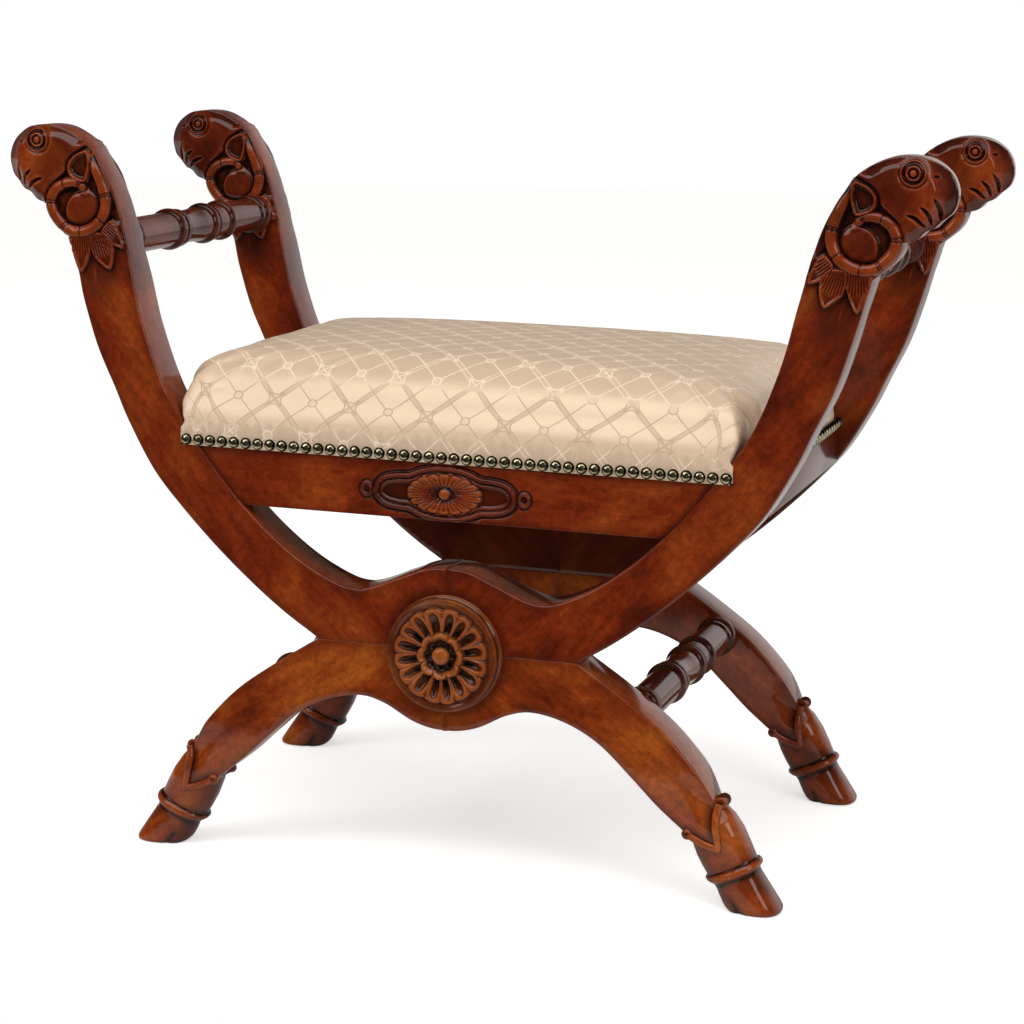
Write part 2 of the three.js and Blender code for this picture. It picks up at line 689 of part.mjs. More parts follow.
// The cushion's form, from the lapped edge up the bulging sides and over the roll to the crown.
// Inset is how far this form lies inside the outer face.
const cushionSideShares = [[0, 0, 0], [0.19, 0, 0], [0.45, 1, 1], [0.8, 0.8, 1], [1, -0.3, 0.8]];
const cushionRollShares = [0.4, 0.7, 1];
const cushionCrownShares = [0.75, 0.45, 0.2];
function cushionForm(inset) {
  const reachX = sideRailOuter;
  const reachY = outerHalf - apronSetback;
  const base = railTop - coverLap;
  const side = cushionSide + coverLap;
  const rings = cushionSideShares.map(([up, out, draw]) => {
    const reach = out * cushionBulge - inset;
    return cushionRing(reachX + reach, reachY + reach, cushionCorner, draw * cushionDraw, base + up * side);
  });
  for (const share of cushionRollShares) {
    const turn = share * Math.PI / 2;
    const inward = inset + cushionRollReach * (1 - Math.cos(turn));
    const height = base + side + cushionRollRise * Math.sin(turn) - inset;
    rings.push(cushionRing(reachX - inward, reachY - inward, cushionCorner, cushionDraw, height));
  }
  const rim = base + side + cushionRollRise - inset;
  const inward = inset + cushionRollReach;
  const [rimX, rimY] = [reachX - inward, reachY - inward];
  for (const share of cushionCrownShares) {
    rings.push(cushionRing(rimX * share, rimY * share, cushionCorner, 0, rim).map(([x, y]) => [
      x, y, rim + cushionCrown * (1 - (x / rimX) ** 2) * (1 - (y / rimY) ** 2),
    ]));
  }
  const around = rings[0].length;
  const index = [];
  for (let i = 0; i < around; i += 1) {
    const next = (i + 1) % around;
    for (let row = 0; row < rings.length - 1; row += 1) {
      const [low, high] = [row * around, (row + 1) * around];
      index.push(low + i, low + next, high + i, low + next, high + next, high + i);
    }
    const high = (rings.length - 1) * around;
    const peak = rings.length * around;
    index.push(high + i, high + next, peak, next, i, peak + 1);
  }
  const positions = [...rings.flat(), [0, 0, rim + cushionCrown], [0, 0, base]].flat();
  const geometry = new THREE.BufferGeometry();
  geometry.setAttribute('position', new THREE.Float32BufferAttribute(positions, 3));
  geometry.setIndex(index);
  return solid(geometry);
}

// The space of the four arms with a clearance, which the upholstery is fitted round.
function armKeepOut(clearance) {
  const one = geometryOf(solid(slab(armSpace(clearance), boardThickness + 2 * clearance)));
  let all = null;
  for (const [signX, signY] of [[1, 1], [-1, 1], [1, -1], [-1, -1]]) {
    const next = solid(mirrored(one, signX, 1)).translate([0, signY * halfSpacing, 0]);
    all = all ? all.add(next) : next;
  }
  return all;
}

function above(height) {
  const tall = 2 * overallHeight;
  return solid(block(4 * halfWidth, 4 * halfSpacing, tall, 0, 0, height + tall / 2));
}

function seatBoard() {
  const inset = coverThickness + glueGap + coverClearance;
  const board = solid(block(
    2 * (sideRailOuter - 2 * inset), 2 * (outerHalf - 2 * inset), seatBoardThickness,
    0, 0, railTop + glueGap + seatBoardThickness / 2,
  ));
  let fitted = board.subtract(armKeepOut(inset));
  for (const [signX, signY] of [[1, 1], [-1, 1], [1, -1], [-1, -1]]) {
    fitted = fitted.subtract(solid(mirrored(geometryOf(screwHole()), signX, signY)));
  }
  return fitted;
}

const foamBase = railTop + glueGap + seatBoardThickness + glueGap;

function seatFoam() {
  const inset = coverThickness + glueGap;
  return cushionForm(inset).intersect(above(foamBase)).subtract(armKeepOut(inset + coverClearance));
}

function seatCover() {
  const hollow = cushionForm(coverThickness).subtract(armKeepOut(coverThickness + coverClearance));
  const deep = foamBase - railTop + 2 * coverLap;
  const box = solid(block(
    2 * (sideRailOuter - coverThickness), 2 * (outerHalf - apronSetback - coverThickness), deep,
    0, 0, foamBase - deep / 2,
  ));
  return cushionForm(0).subtract(armKeepOut(coverClearance)).subtract(hollow).subtract(box);
}

// Band of close-set upholstery nails over the cover's lapped edge, half-round in section.
const nailBandShares = [[0, -1], [0.7, -0.6], [1, 0], [0.7, 0.6], [0, 1]];
function nailBand(length) {
  const section = new THREE.Shape(nailBandShares.map(([out, up]) => new THREE.Vector2(
    out * nailBandDepth, up * nailBandHeight / 2,
  )));
  return new THREE.ExtrudeGeometry(section, { depth: length, bevelEnabled: false })
    .translate(0, 0, -length / 2).rotateX(Math.PI / 2);
}

// Three-cornered block glued in a back corner of the seat box, with a hole for its screw. It is
// made for the right-hand back corner, in place.
const blockCorner = sideRailOuter - sideRailThickness - glueGap;
const blockEdge = innerHalf - glueGap;
const screwShare = 0.3;
const screwPlace = new THREE.Vector2(blockCorner - blockLeg * screwShare, blockEdge - blockLeg * screwShare);
function cornerBlock() {
  const outline = new THREE.Shape([
    new THREE.Vector2(blockCorner, blockEdge), new THREE.Vector2(blockCorner - blockLeg, blockEdge),
    new THREE.Vector2(blockCorner, blockEdge - blockLeg),
  ]);
  const prism = new THREE.ExtrudeGeometry(outline, { depth: blockHeight, bevelEnabled: false });
  const body = solid(prism.translate(0, 0, railTop - blockHeight));
  return body.subtract(screwHole());
}

function screwHole() {
  const deep = blockHeight + screwBite + glueGap + overrun;
  const centre = railTop - blockHeight - overrun + deep / 2;
  return solid(bar(screwRadius + glueGap, deep, 'z', screwPlace.x, screwPlace.y, centre));
}

function screw() {
  const length = blockHeight + screwBite;
  const profile = [
    [0, -screwHeadHeight], [screwRadius, -screwHeadHeight], [screwHeadRadius, 0], [screwRadius, 0],
    [screwRadius, length - screwRadius], [0, length],
  ].map(([r, h]) => new THREE.Vector2(r, h));
  const turned = new THREE.LatheGeometry(profile, dowelSides).rotateX(Math.PI / 2);
  return solid(turned.translate(screwPlace.x, screwPlace.y, railTop - blockHeight - glueGap));
}

const mahogany = { color: 0x6b2410, roughness: 0.32, metalness: 0 };
const carvedMahogany = { color: 0x5a1c0c, roughness: 0.3, metalness: 0 };
const beech = { color: 0xc49a6a, roughness: 0.7, metalness: 0 };
const plywood = { color: 0xb98a58, roughness: 0.75, metalness: 0 };
const satin = { color: 0xd8bd97, roughness: 0.5, metalness: 0 };
const latex = { color: 0xe9e2c8, roughness: 0.95, metalness: 0 };
const agedBrass = { color: 0x8a7a48, roughness: 0.35, metalness: 1 };
const steel = { color: 0x9a9a9a, roughness: 0.4, metalness: 1 };

const stool = new THREE.Group();

function add(parent, name, geometry, finish, x = 0, y = 0, z = 0) {
  const mesh = new THREE.Mesh(geometry, new THREE.MeshStandardMaterial(finish));
  mesh.name = name;
  mesh.position.set(x, y, z);
  parent.add(mesh);
}

// The two frames, their rosettes and their dowels
const armGeometry = geometryOf(arm());
const legGeometry = geometryOf(leg());
const rosetteGeometry = rosette();
const uprightDowel = geometryOf(solid(bar(dowelRadius, dowelLength, 'z', 0, 0, 0)));
const crossDowel = geometryOf(solid(bar(dowelRadius, dowelLength, 'x', 0, 0, 0)));
for (const [frameName, away] of [['front', -1], ['back', 1]]) {
  const frame = new THREE.Group();
  frame.position.y = away * halfSpacing;
  stool.add(frame);
  for (const [sideName, side] of [['left', -1], ['right', 1]]) {
    add(frame, `${frameName}_${sideName}_arm`, mirrored(armGeometry, side, -away), mahogany);
    add(frame, `${frameName}_${sideName}_leg`, mirrored(legGeometry, side, -away), mahogany);
    uprightDowelReaches.forEach((reach, i) => {
      const name = `${frameName}_${sideName}_hub_dowel_${i + 1}`;
      add(frame, name, uprightDowel, beech, side * reach, 0, crotchHeight);
    });
    apronDowelHeights.forEach((height, i) => {
      const [x, y] = [side * innerEdgeAcross(height), -away * (halfSpacing + apronMiddle)];
      add(frame, `${frameName}_${sideName}_apron_dowel_${i + 1}`, crossDowel, beech, x, y, height);
    });
  }
  [...armDowelHeights, legDowelHeight].forEach((height, i) => {
    add(frame, `${frameName}_cross_dowel_${i + 1}`, crossDowel, beech, 0, 0, height);
  });
  const face = away * (halfBoard + glueGap);
  const rosetteFacing = mirrored(rosetteGeometry, 1, -away);
  add(frame, `${frameName}_rosette`, rosetteFacing, carvedMahogany, 0, face, crotchHeight - rosetteDrop);
}

// Turned rails
const handRail = geometryOf(turnedRail(2 * (halfSpacing - groundHalf - glueGap)));
const stretcher = geometryOf(turnedRail(2 * (innerHalf - glueGap)));
for (const [sideName, side] of [['left', -1], ['right', 1]]) {
  add(stool, `${sideName}_hand_rail`, handRail, mahogany, side * handRailPlace.x, 0, handRailPlace.y);
  add(stool, `${sideName}_stretcher`, stretcher, mahogany, side * stretcherPlace.x, 0, stretcherPlace.y);
}

// Seat box
const apronGeometry = geometryOf(apron());
add(stool, 'front_apron', apronGeometry, mahogany);
add(stool, 'back_apron', mirrored(apronGeometry, 1, -1), mahogany);
const sideRailGeometry = geometryOf(sideRail());
add(stool, 'right_seat_rail', sideRailGeometry, mahogany);
add(stool, 'left_seat_rail', mirrored(sideRailGeometry, -1, 1), mahogany);
add(stool, 'seat_board', geometryOf(seatBoard()), plywood);
add(stool, 'seat_foam', geometryOf(seatFoam()), latex);
add(stool, 'seat_cover', geometryOf(seatCover()), satin);
const blockGeometry = geometryOf(cornerBlock());
const screwGeometry = geometryOf(screw());
for (const [endName, signY] of [['front', -1], ['back', 1]]) {
  for (const [sideName, signX] of [['left', -1], ['right', 1]]) {
    const place = `${endName}_${sideName}`;
    add(stool, `${place}_corner_block`, mirrored(blockGeometry, signX, signY), beech);
    add(stool, `${place}_seat_screw`, mirrored(screwGeometry, signX, signY), steel);
  }
}

// Nail bands
const bandHeight = railTop - coverLap + nailBandHeight / 2 + glueGap;
const longBand = solid(nailBand(2 * innerEdgeAcross(railTop)).rotateZ(-Math.PI / 2));
const longFace = outerHalf - apronSetback + glueGap;
const frontBand = longBand.translate([0, -longFace, bandHeight]).subtract(armKeepOut(coverClearance));
add(stool, 'front_nail_band', geometryOf(frontBand), agedBrass);
add(stool, 'back_nail_band', mirrored(geometryOf(frontBand), 1, -1), agedBrass);
const sideBand = geometryOf(solid(nailBand(2 * (innerHalf - glueGap))));
const sideFace = sideRailOuter + glueGap;
add(stool, 'right_nail_band', sideBand, agedBrass, sideFace, 0, bandHeight);
add(stool, 'left_nail_band', sideBand.clone().rotateZ(Math.PI), agedBrass, -sideFace, 0, bandHeight);

export default stool;
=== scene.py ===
"""An X-frame stool with ram's heads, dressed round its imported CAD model."""

import math

import bmesh
import bpy
import numpy as np
from mathutils import Matrix, Vector
from mathutils.geometry import delaunay_2d_cdt


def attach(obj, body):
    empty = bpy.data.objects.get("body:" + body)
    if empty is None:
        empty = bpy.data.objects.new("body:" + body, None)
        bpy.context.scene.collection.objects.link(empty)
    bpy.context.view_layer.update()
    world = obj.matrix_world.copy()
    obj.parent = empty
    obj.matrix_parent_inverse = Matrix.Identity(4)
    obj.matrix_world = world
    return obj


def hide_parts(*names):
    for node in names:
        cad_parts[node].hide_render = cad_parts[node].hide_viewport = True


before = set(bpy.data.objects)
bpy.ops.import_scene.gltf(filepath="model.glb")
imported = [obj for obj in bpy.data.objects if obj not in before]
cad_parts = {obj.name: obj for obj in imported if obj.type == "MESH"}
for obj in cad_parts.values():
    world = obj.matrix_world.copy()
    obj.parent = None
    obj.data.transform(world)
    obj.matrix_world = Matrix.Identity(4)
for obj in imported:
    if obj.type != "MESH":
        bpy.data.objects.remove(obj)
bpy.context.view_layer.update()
scene = bpy.context.scene

# Camera: a long lens a little above the seat, turned towards the stool's right-hand end.
CAMERA_AZIMUTH = math.radians(17.67)
CAMERA_ELEVATION = math.radians(11.09)
CAMERA_ROLL = math.radians(1.09)
CAMERA_DISTANCE = 2.676
CAMERA_TARGET = Vector((-0.003, 0, 0.3195))


def new_object(name, data):
    """A new object, linked into the scene."""
    made = bpy.data.objects.new(name, data)
    scene.collection.objects.link(made)
    return made


camera = new_object("camera", bpy.data.cameras.new("camera"))
scene.camera = camera
camera.data.sensor_width = 36
camera.data.lens = 93.45
camera.data.clip_start = 0.05
camera.data.clip_end = 50
camera_back = Vector((
    math.sin(CAMERA_AZIMUTH) * math.cos(CAMERA_ELEVATION),
    -math.cos(CAMERA_AZIMUTH) * math.cos(CAMERA_ELEVATION),
    math.sin(CAMERA_ELEVATION),
))
level_right = Vector((math.cos(CAMERA_AZIMUTH), math.sin(CAMERA_AZIMUTH), 0))
level_up = camera_back.cross(level_right)
camera_right = level_right * math.cos(CAMERA_ROLL) + level_up * math.sin(CAMERA_ROLL)
camera_up = level_up * math.cos(CAMERA_ROLL) - level_right * math.sin(CAMERA_ROLL)
turn = Matrix((camera_right, camera_up, camera_back)).transposed()
camera.matrix_world = Matrix.Translation(CAMERA_TARGET + camera_back * CAMERA_DISTANCE) @ turn.to_4x4()

# Studio: a white sweep of paper under the stool, two large soft boxes in front and one overhead.
# The paper is a wide flat sheet that ends a little in front; it keeps the stool's soft shadow.
scene.view_settings.view_transform = "Standard"


def linear(hex_colour):
    """An sRGB hex colour as the linear colour that the shaders take."""
    parts = [int(hex_colour[i:i + 2], 16) / 255 for i in (1, 3, 5)]
    return (*(p / 12.92 if p <= 0.04045 else ((p + 0.055) / 1.055) ** 2.4 for p in parts), 1)


def add_node(tree, kind, settings=None, links=None, **values):
    """Adds a node: its properties, the sockets linked into it, and the values of other sockets."""
    node = tree.nodes.new(kind)
    for name, value in (settings or {}).items():
        setattr(node, name, value)
    for name, value in values.items():
        node.inputs[name.replace("_", " ")].default_value = value
    for name, source in (links or {}).items():
        tree.links.new(source, node.inputs[name])
    return node


def new_material(name):
    """An empty material and its node tree."""
    material = bpy.data.materials.new(name)
    material.use_nodes = True
    material.node_tree.nodes.clear()
    return material, material.node_tree


def feed(tree, socket, value):
    """Gives a socket its value: a link from another socket, or a number or colour of its own."""
    if isinstance(value, bpy.types.NodeSocket):
        tree.links.new(value, socket)
    else:
        socket.default_value = value


def maths(tree, operation, *values, clamp=False):
    """The result of a Math node."""
    node = add_node(tree, "ShaderNodeMath", {"operation": operation, "use_clamp": clamp})
    for socket, value in zip(node.inputs, values):
        feed(tree, socket, value)
    return node.outputs[0]


def ranged(tree, source, low, high, out_low, out_high, smooth=False):
    """A value moved from one range into another, and held inside it."""
    kind = {"interpolation_type": "SMOOTHSTEP" if smooth else "LINEAR"}
    node = add_node(tree, "ShaderNodeMapRange", kind, {"Value": source})
    for socket, value in zip(node.inputs[1:5], (low, high, out_low, out_high)):
        socket.default_value = value
    return node.outputs[0]


def mixed(tree, amount, under, over, kind="RGBA", blend="MIX"):
    """One colour or number laid over another."""
    first, second, out = {"RGBA": (6, 7, 2), "FLOAT": (2, 3, 0)}[kind]
    node = add_node(tree, "ShaderNodeMix", {"data_type": kind, "blend_type": blend})
    for k, value in ((0, amount), (first, under), (second, over)):
        feed(tree, node.inputs[k], value)
    return node.outputs[out]


WORLD_ON_OBJECT = 0.55
ROOM_BEHIND_CAMERA = 0.05
ROOM_ABOVE = 0.12
world = bpy.data.worlds.new("white_studio")
scene.world = world
world.use_nodes = True
tree = world.node_tree
tree.nodes.clear()
path = add_node(tree, "ShaderNodeLightPath").outputs
seen = maths(tree, "MAXIMUM", path["Is Camera Ray"], path["Is Transmission Ray"])
# A reflection shows the white set behind the stool and to its right, and a darker room elsewhere.
way = add_node(tree, "ShaderNodeTexCoord").outputs["Generated"]
parted = add_node(tree, "ShaderNodeSeparateXYZ", None, {0: way}).outputs
room = ranged(tree, parted[1], -0.15, 0.55, ROOM_BEHIND_CAMERA, 1.0, smooth=True)
ceiling = ranged(tree, parted[2], 0.26, 0.58, 1.0, ROOM_ABOVE, smooth=True)
left_wall = ranged(tree, parted[0], -0.30, 0.10, ROOM_ABOVE, 1.0, smooth=True)
around = maths(tree, "MULTIPLY", maths(tree, "MULTIPLY", room, ceiling), left_wall)
lit = mixed(tree, path["Is Glossy Ray"], WORLD_ON_OBJECT, around, "FLOAT")
level = maths(tree, "MAXIMUM", seen, lit)
white = add_node(tree, "ShaderNodeBackground", None, {"Strength": level}, Color=linear("#FFFFFF"))
add_node(tree, "ShaderNodeOutputWorld", None, {"Surface": white.outputs[0]})

FLOOR_RADIUS = 9
FLOOR_FRONT = -0.6
FLOOR_SIDES = 96
mesh = bpy.data.meshes.new("paper_floor")
rim = []
for i in range(FLOOR_SIDES):
    turned_by = 2 * math.pi * i / FLOOR_SIDES
    rim.append((FLOOR_RADIUS * math.cos(turned_by),
                max(FLOOR_RADIUS * math.sin(turned_by), FLOOR_FRONT), -0.0006))
mesh.from_pydata(rim, [], [list(range(FLOOR_SIDES))])
floor = new_object("paper_floor", mesh)
# Matt white background paper: it reads as clean white, and only the stool's shadow shows on it.
paper, tree = new_material("matt_white_paper")
path = add_node(tree, "ShaderNodeLightPath")
diffuse = add_node(tree, "ShaderNodeBsdfDiffuse", Color=linear("#E6E4E1"))
glow = add_node(tree, "ShaderNodeEmission", Color=linear("#FFFFFF"), Strength=0.55)
lifted = add_node(tree, "ShaderNodeAddShader", None, {0: diffuse.outputs[0], 1: glow.outputs[0]})
shown = add_node(tree, "ShaderNodeMixShader", None,
                 {0: path.outputs["Is Camera Ray"], 1: diffuse.outputs[0], 2: lifted.outputs[0]})
add_node(tree, "ShaderNodeOutputMaterial", None, {"Surface": shown.outputs[0]})
mesh.materials.append(paper)

for name, place, size, power in (
    ("soft_box_left", (-1.9, -2.1, 2.0), (1.3, 1.3), 18),
    ("soft_box_right", (2.2, -1.7, 1.5), (1.0, 1.0), 13),
    ("soft_box_over", (0.1, -1.15, 2.5), (2.8, 1.5), 38),
):
    lamp = bpy.data.lights.new(name, "AREA")
    lamp.shape = "RECTANGLE"
    lamp.size, lamp.size_y = size
    lamp.energy = power
    holder = new_object(name, lamp)
    holder.location = place
    aim = Vector((0, 0, 0.4)) - Vector(place)
    holder.rotation_mode = "QUATERNION"
    holder.rotation_quaternion = aim.to_track_quat("-Z", "Y")

# Arms: four curved boards, each bandsawn from solid mahogany and carved on both faces with a
# ram's head. Each is glued to its leg at the hub and butted against its twin at the middle.
MM = 0.001
BOARD_HALF = 23.0
FRAME_HALF_SPACING = 184.5
JOINT_GAP = 0.15
CROTCH = 224.0
HUB_HEIGHT = 222.0
SIDES = (("left", -1), ("right", 1))
FRAMES = (("front", 1), ("back", -1))

ARM_INNER_EDGE = [(0, 303), (22, 301.2), (46, 291.5), (90, 276), (129, 288), (168, 313), (208, 349),
                  (247, 395), (284, 447), (309, 510), (323, 568), (333, 610), (345, 644), (366, 680)]
ARM_CROWN = [(366, 680), (381, 691.5), (402, 700), (428, 699.5), (448, 689), (456.5, 672),
             (454, 655), (444, 645), (438, 639)]
ARM_CHIN = [(438, 639), (431, 636), (424, 629), (412, 625.5)]
ARM_HORN_SIDE = [(412, 625.5), (411, 617), (404, 606), (388, 592.5)]
ARM_OUTER_EDGE = [(388, 592.5), (379, 560), (370, 527), (358, 490), (341, 453), (326, 420),
                  (300, 375), (270, 340), (233, 303), (195, 270), (162, 245), (129, 224)]


def smooth_line(points, step, closed=False):
    """Points about one step apart along a smooth curve through the given ones."""
    p = np.asarray(points, float)
    if closed:
        p = np.vstack([p[-1], p, p[0], p[1]])
    else:
        first = p[1] * (-1, 1) if p[0][0] == 0 else 2 * p[0] - p[1]
        last = p[-2] * (-1, 1) if p[-1][0] == 0 else 2 * p[-1] - p[-2]
        p = np.vstack([first, p, last])
    fine = []
    for a, b, c, d in zip(p[:-3], p[1:-2], p[2:-1], p[3:]):
        t = np.linspace(0, 1, 24, endpoint=False)[:, None]
        fine.append(0.5 * (2 * b + (c - a) * t + (2 * a - 5 * b + 4 * c - d) * t ** 2
                           + (3 * b - a - 3 * c + d) * t ** 3))
    fine = np.vstack([*fine, p[-2][None]])
    run = np.r_[0, np.cumsum(np.linalg.norm(np.diff(fine, axis=0), axis=1))]
    count = max(2, int(round(run[-1] / step)))
    at = np.linspace(0, run[-1], count + 1)
    out = np.column_stack([np.interp(at, run, fine[:, k]) for k in range(fine.shape[1])])
    return out[:-1] if closed else out


def to_line(points, line, closed=False):
    """For each point: its distance to a line of points, and how far along the line that is."""
    a = np.asarray(line, float)
    b = np.roll(a, -1, axis=0) if closed else a[1:]
    a = a if closed else a[:-1]
    start = np.r_[0, np.cumsum(np.linalg.norm(b - a, axis=1))[:-1]]
    best = np.full(len(points), 1e9)
    along = np.zeros(len(points))
    for p0, p1, s0 in zip(a, b, start):
        d = p1 - p0
        size = max(np.hypot(*d), 1e-9)
        t = np.clip(((points - p0) @ d) / size ** 2, 0, 1)
        gap = np.linalg.norm(points - p0 - t[:, None] * d, axis=1)
        near = gap < best
        best[near] = gap[near]
        along[near] = s0 + t[near] * size
    return best, along


def inside(points, polygon):
    """Whether each point lies in a polygon."""
    polygon = np.asarray(polygon, float)
    hit = np.zeros(len(points), bool)
    x, z = points[:, 0], points[:, 1]
    for (x0, z0), (x1, z1) in zip(polygon, np.roll(polygon, -1, axis=0)):
        if z0 == z1:
            continue
        crosses = (z0 > z) != (z1 > z)
        hit ^= crosses & (x < (x1 - x0) * (z - z0) / (z1 - z0) + x0)
    return hit


def depth_in(points, polygon):
    """Distance inside a polygon's edge, negative outside it."""
    gap = to_line(points, polygon, closed=True)[0]
    return np.where(inside(points, polygon), gap, -gap)


def rise(value, low, high):
    """A smooth step from 0 at low to 1 at high."""
    t = np.clip((value - low) / (high - low), 0, 1)
    return t * t * (3 - 2 * t)


def shoulder(depth, width):
    """0 at a carved edge, rounding up to 1 over a width."""
    t = np.clip(depth / width, 0, 1)
    return np.sqrt(1 - (1 - t) ** 2)


# The ram's head, in millimetres on the front face of the right-hand arm: heights are above that
# face, and the ground round the head is cut down below it.
GROUND = -5.6
HORN_PATH = [(366, 672), (362.5, 665), (358.5, 657.5), (354.5, 649), (351.2, 639), (349.6, 627),
             (353.5, 614.5), (362, 605.5), (375, 600.5), (387.5, 601.5), (398, 609), (405.5, 619.5),
             (407, 630), (402.5, 639.5), (393.5, 645.5), (384, 647.5), (376, 645.5), (371, 639)]
HORN_GROOVES = [(349.5, 637.5), (349.4, 635), (354.5, 612.5), (376, 600.5), (392, 604), (394, 605.5),
                (405, 627), (405.4, 629.6), (393.5, 645.5), (377.5, 646.3), (375.5, 645.3)]
MUZZLE_BACK = [(411, 626), (410, 634), (406, 643.5), (397, 652), (391.5, 658), (389.5, 665), (384, 673),
               (371, 682), (362, 692)]
EAR = [(371, 647.5), (366, 657), (364.5, 668), (367.5, 678), (376, 676.5), (384.5, 671), (389, 662.5),
       (385, 652)]
LEAVES = [
    [(353, 604), (343, 613), (334.5, 602), (330.5, 587), (341, 589), (349.5, 595)],
    [(346, 599), (340.5, 583), (345, 566), (356, 572), (363.5, 581), (365, 599)],
    [(364, 598), (366.5, 578), (375, 562), (382, 577), (388, 596)],
]
LEAF_ROOTS = [(361, 612), (361, 608), (374, 612)]
LEAF_TIPS = [(330.5, 587), (345, 566), (375, 562)]
EYE = np.array((419.5, 686.6))
NOSTRIL = [(436.0, 685.0), (441.5, 683.2)]
MOUTH = [[(415, 650.5), (423, 647.5), (431, 640.5)],
         [(427, 658), (433.5, 651.5), (436, 643)],
         [(438, 666), (442.5, 656.5), (443, 646.5)]]
CHEEK = np.array((378.0, 624.0))

ear_rim = smooth_line(EAR, 0.8, closed=True)
leaf_rims = [smooth_line(leaf, 0.8, closed=True) for leaf in LEAVES]
muzzle_back = smooth_line(MUZZLE_BACK, 1.0)
crown_line = np.vstack([smooth_line(ARM_CROWN, 2.0), smooth_line(ARM_CHIN, 2.0)])
muzzle_area = np.vstack([muzzle_back, [(362, 740), (520, 740), (520, 600), (411, 600)]])
horn_line = smooth_line(HORN_PATH, 0.9)
horn_length = np.r_[0, np.cumsum(np.linalg.norm(np.diff(horn_line, axis=0), axis=1))]
HORN_RADIUS = np.interp(horn_length / horn_length[-1], [0, 0.05, 0.12, 0.5, 0.8, 0.95, 1],
                        [3.8, 4.8, 5.6, 6.0, 5.5, 4.7, 4.1])


def gouge(p, line, half_width, depth):
    """An almond-shaped cut along a line, widest and deepest in its middle."""
    gap, along = to_line(p, line)
    total = np.linalg.norm(np.diff(np.asarray(line, float), axis=0), axis=1).sum()
    width = half_width * np.sqrt(np.clip(np.sin(np.pi * np.clip(along / total, 0.02, 0.98)), 0, 1))
    return depth * (1 - rise(gap, 0, width + 0.01))


def head_fall(p):
    """How far the muzzle's face has rounded down towards its outline, most widely at the nose."""
    nose = rise(p[:, 0], 426, 448)
    fall = 10.0 + 8.0 * nose * rise(p[:, 1], 636, 660)
    return fall * (1 - np.clip(to_line(p, crown_line)[0] / (11 + 13 * nose), 0, 1)) ** 1.6


def head_relief(p, domed=1.0):
    """Height of the carved face at points of the frame's plane, without the horn and the eye."""
    across, up = p[:, 0], p[:, 1]
    leaf_gap = np.max([depth_in(p, rim) for rim in leaf_rims], axis=0)
    sunk_head = GROUND * rise(up - 592 + 0.35 * (across - 360), 0, 14)
    sunk_leaves = -3.8 * (1 - rise(-leaf_gap, 0, 34)) * rise(up, 528, 574)
    height = np.minimum(sunk_head, sunk_leaves)
    for rim, root, tip in zip(leaf_rims, LEAF_ROOTS, LEAF_TIPS):
        depth = depth_in(p, rim)
        axis = np.subtract(tip, root) / np.linalg.norm(np.subtract(tip, root))
        length = np.linalg.norm(np.subtract(tip, root))
        ahead = (p - root) @ axis / length
        aside = (p - root) @ np.array((-axis[1], axis[0]))
        fan = aside / (0.55 + 0.45 * np.clip(ahead, 0, 1))
        ribs = -2.2 * (0.5 - 0.5 * np.cos(2 * np.pi * fan / 3.3)) ** 1.3 * (1 - rise(ahead, 0.60, 0.76))
        dish = -1.9 * shoulder(depth - 1.8, 4.5) * rise(ahead, 0.60, 0.80)
        leaf = -4.8 + 5.0 * shoulder(depth, 2.2) + (ribs + dish) * rise(depth, 0.8, 2.4)
        height = np.where(depth > 0, np.maximum(height, leaf), height)
    cheek_gap = np.linalg.norm((p - CHEEK) / (22.0, 19.0), axis=1)
    cheek = GROUND - 1.2 + 6.0 * np.sqrt(np.clip(1 - cheek_gap ** 2, 0, 1))
    crescent = np.linalg.norm(p - (373, 620), axis=1)
    hollow = 4.6 * rise(crescent, 17.0, 20.5) * rise(across + 0.6 * up, 754, 764)
    height = np.where(cheek_gap < 1, np.maximum(height, cheek - hollow), height)
    depth = depth_in(p, ear_rim)
    rim_up = GROUND + 6.4 * shoulder(depth, 2.0)
    ear = rim_up - 4.6 * rise(depth, 1.2, 5.5)
    height = np.where(depth > 0, np.maximum(height, ear), height)
    back_gap = to_line(p, muzzle_back)[0]
    muzzle = GROUND + (5.6 + 0.9 * rise(back_gap, 4, 26)) * shoulder(back_gap, 6.5)
    for line in MOUTH:
        muzzle = muzzle - gouge(p, smooth_line(line, 1.0), 2.8, 4.2)
    muzzle = muzzle - gouge(p, np.asarray(NOSTRIL, float), 1.9, 3.4)
    eye_gap = np.linalg.norm(p - EYE, axis=1)
    eye_groove = 1.2 * (1 - rise(np.abs(eye_gap - 12.2), 0.6, 2.4))
    eye_bed = 3.4 * (1 - rise(eye_gap, 10.6, 11.6))
    muzzle = muzzle - eye_groove - eye_bed
    rounded = np.maximum(height, muzzle) - domed * head_fall(p) * rise(back_gap, 0, 8)
    return np.where(inside(p, muzzle_area), rounded, height)


# Height map of the whole head, blurred, to find the hollows that get the dark glaze and painted shade.
MAP_STEP = 0.6
MAP_LOW = np.array((315.0, 545.0))
map_x, map_z = np.arange(MAP_LOW[0], 470, MAP_STEP), np.arange(MAP_LOW[1], 715, MAP_STEP)
map_points = np.stack(np.meshgrid(map_x, map_z, indexing="ij"), axis=-1).reshape(-1, 2)
map_height = head_relief(map_points, domed=0.0)
gap, along = to_line(map_points, horn_line)
radius = np.interp(along, horn_length, HORN_RADIUS)
horn_top = -radius + 0.4 + np.sqrt(np.clip(radius ** 2 - gap ** 2, 0, None))
map_height = np.where(gap < radius, np.maximum(map_height, horn_top), map_height)
map_height = map_height.reshape(len(map_x), len(map_z))


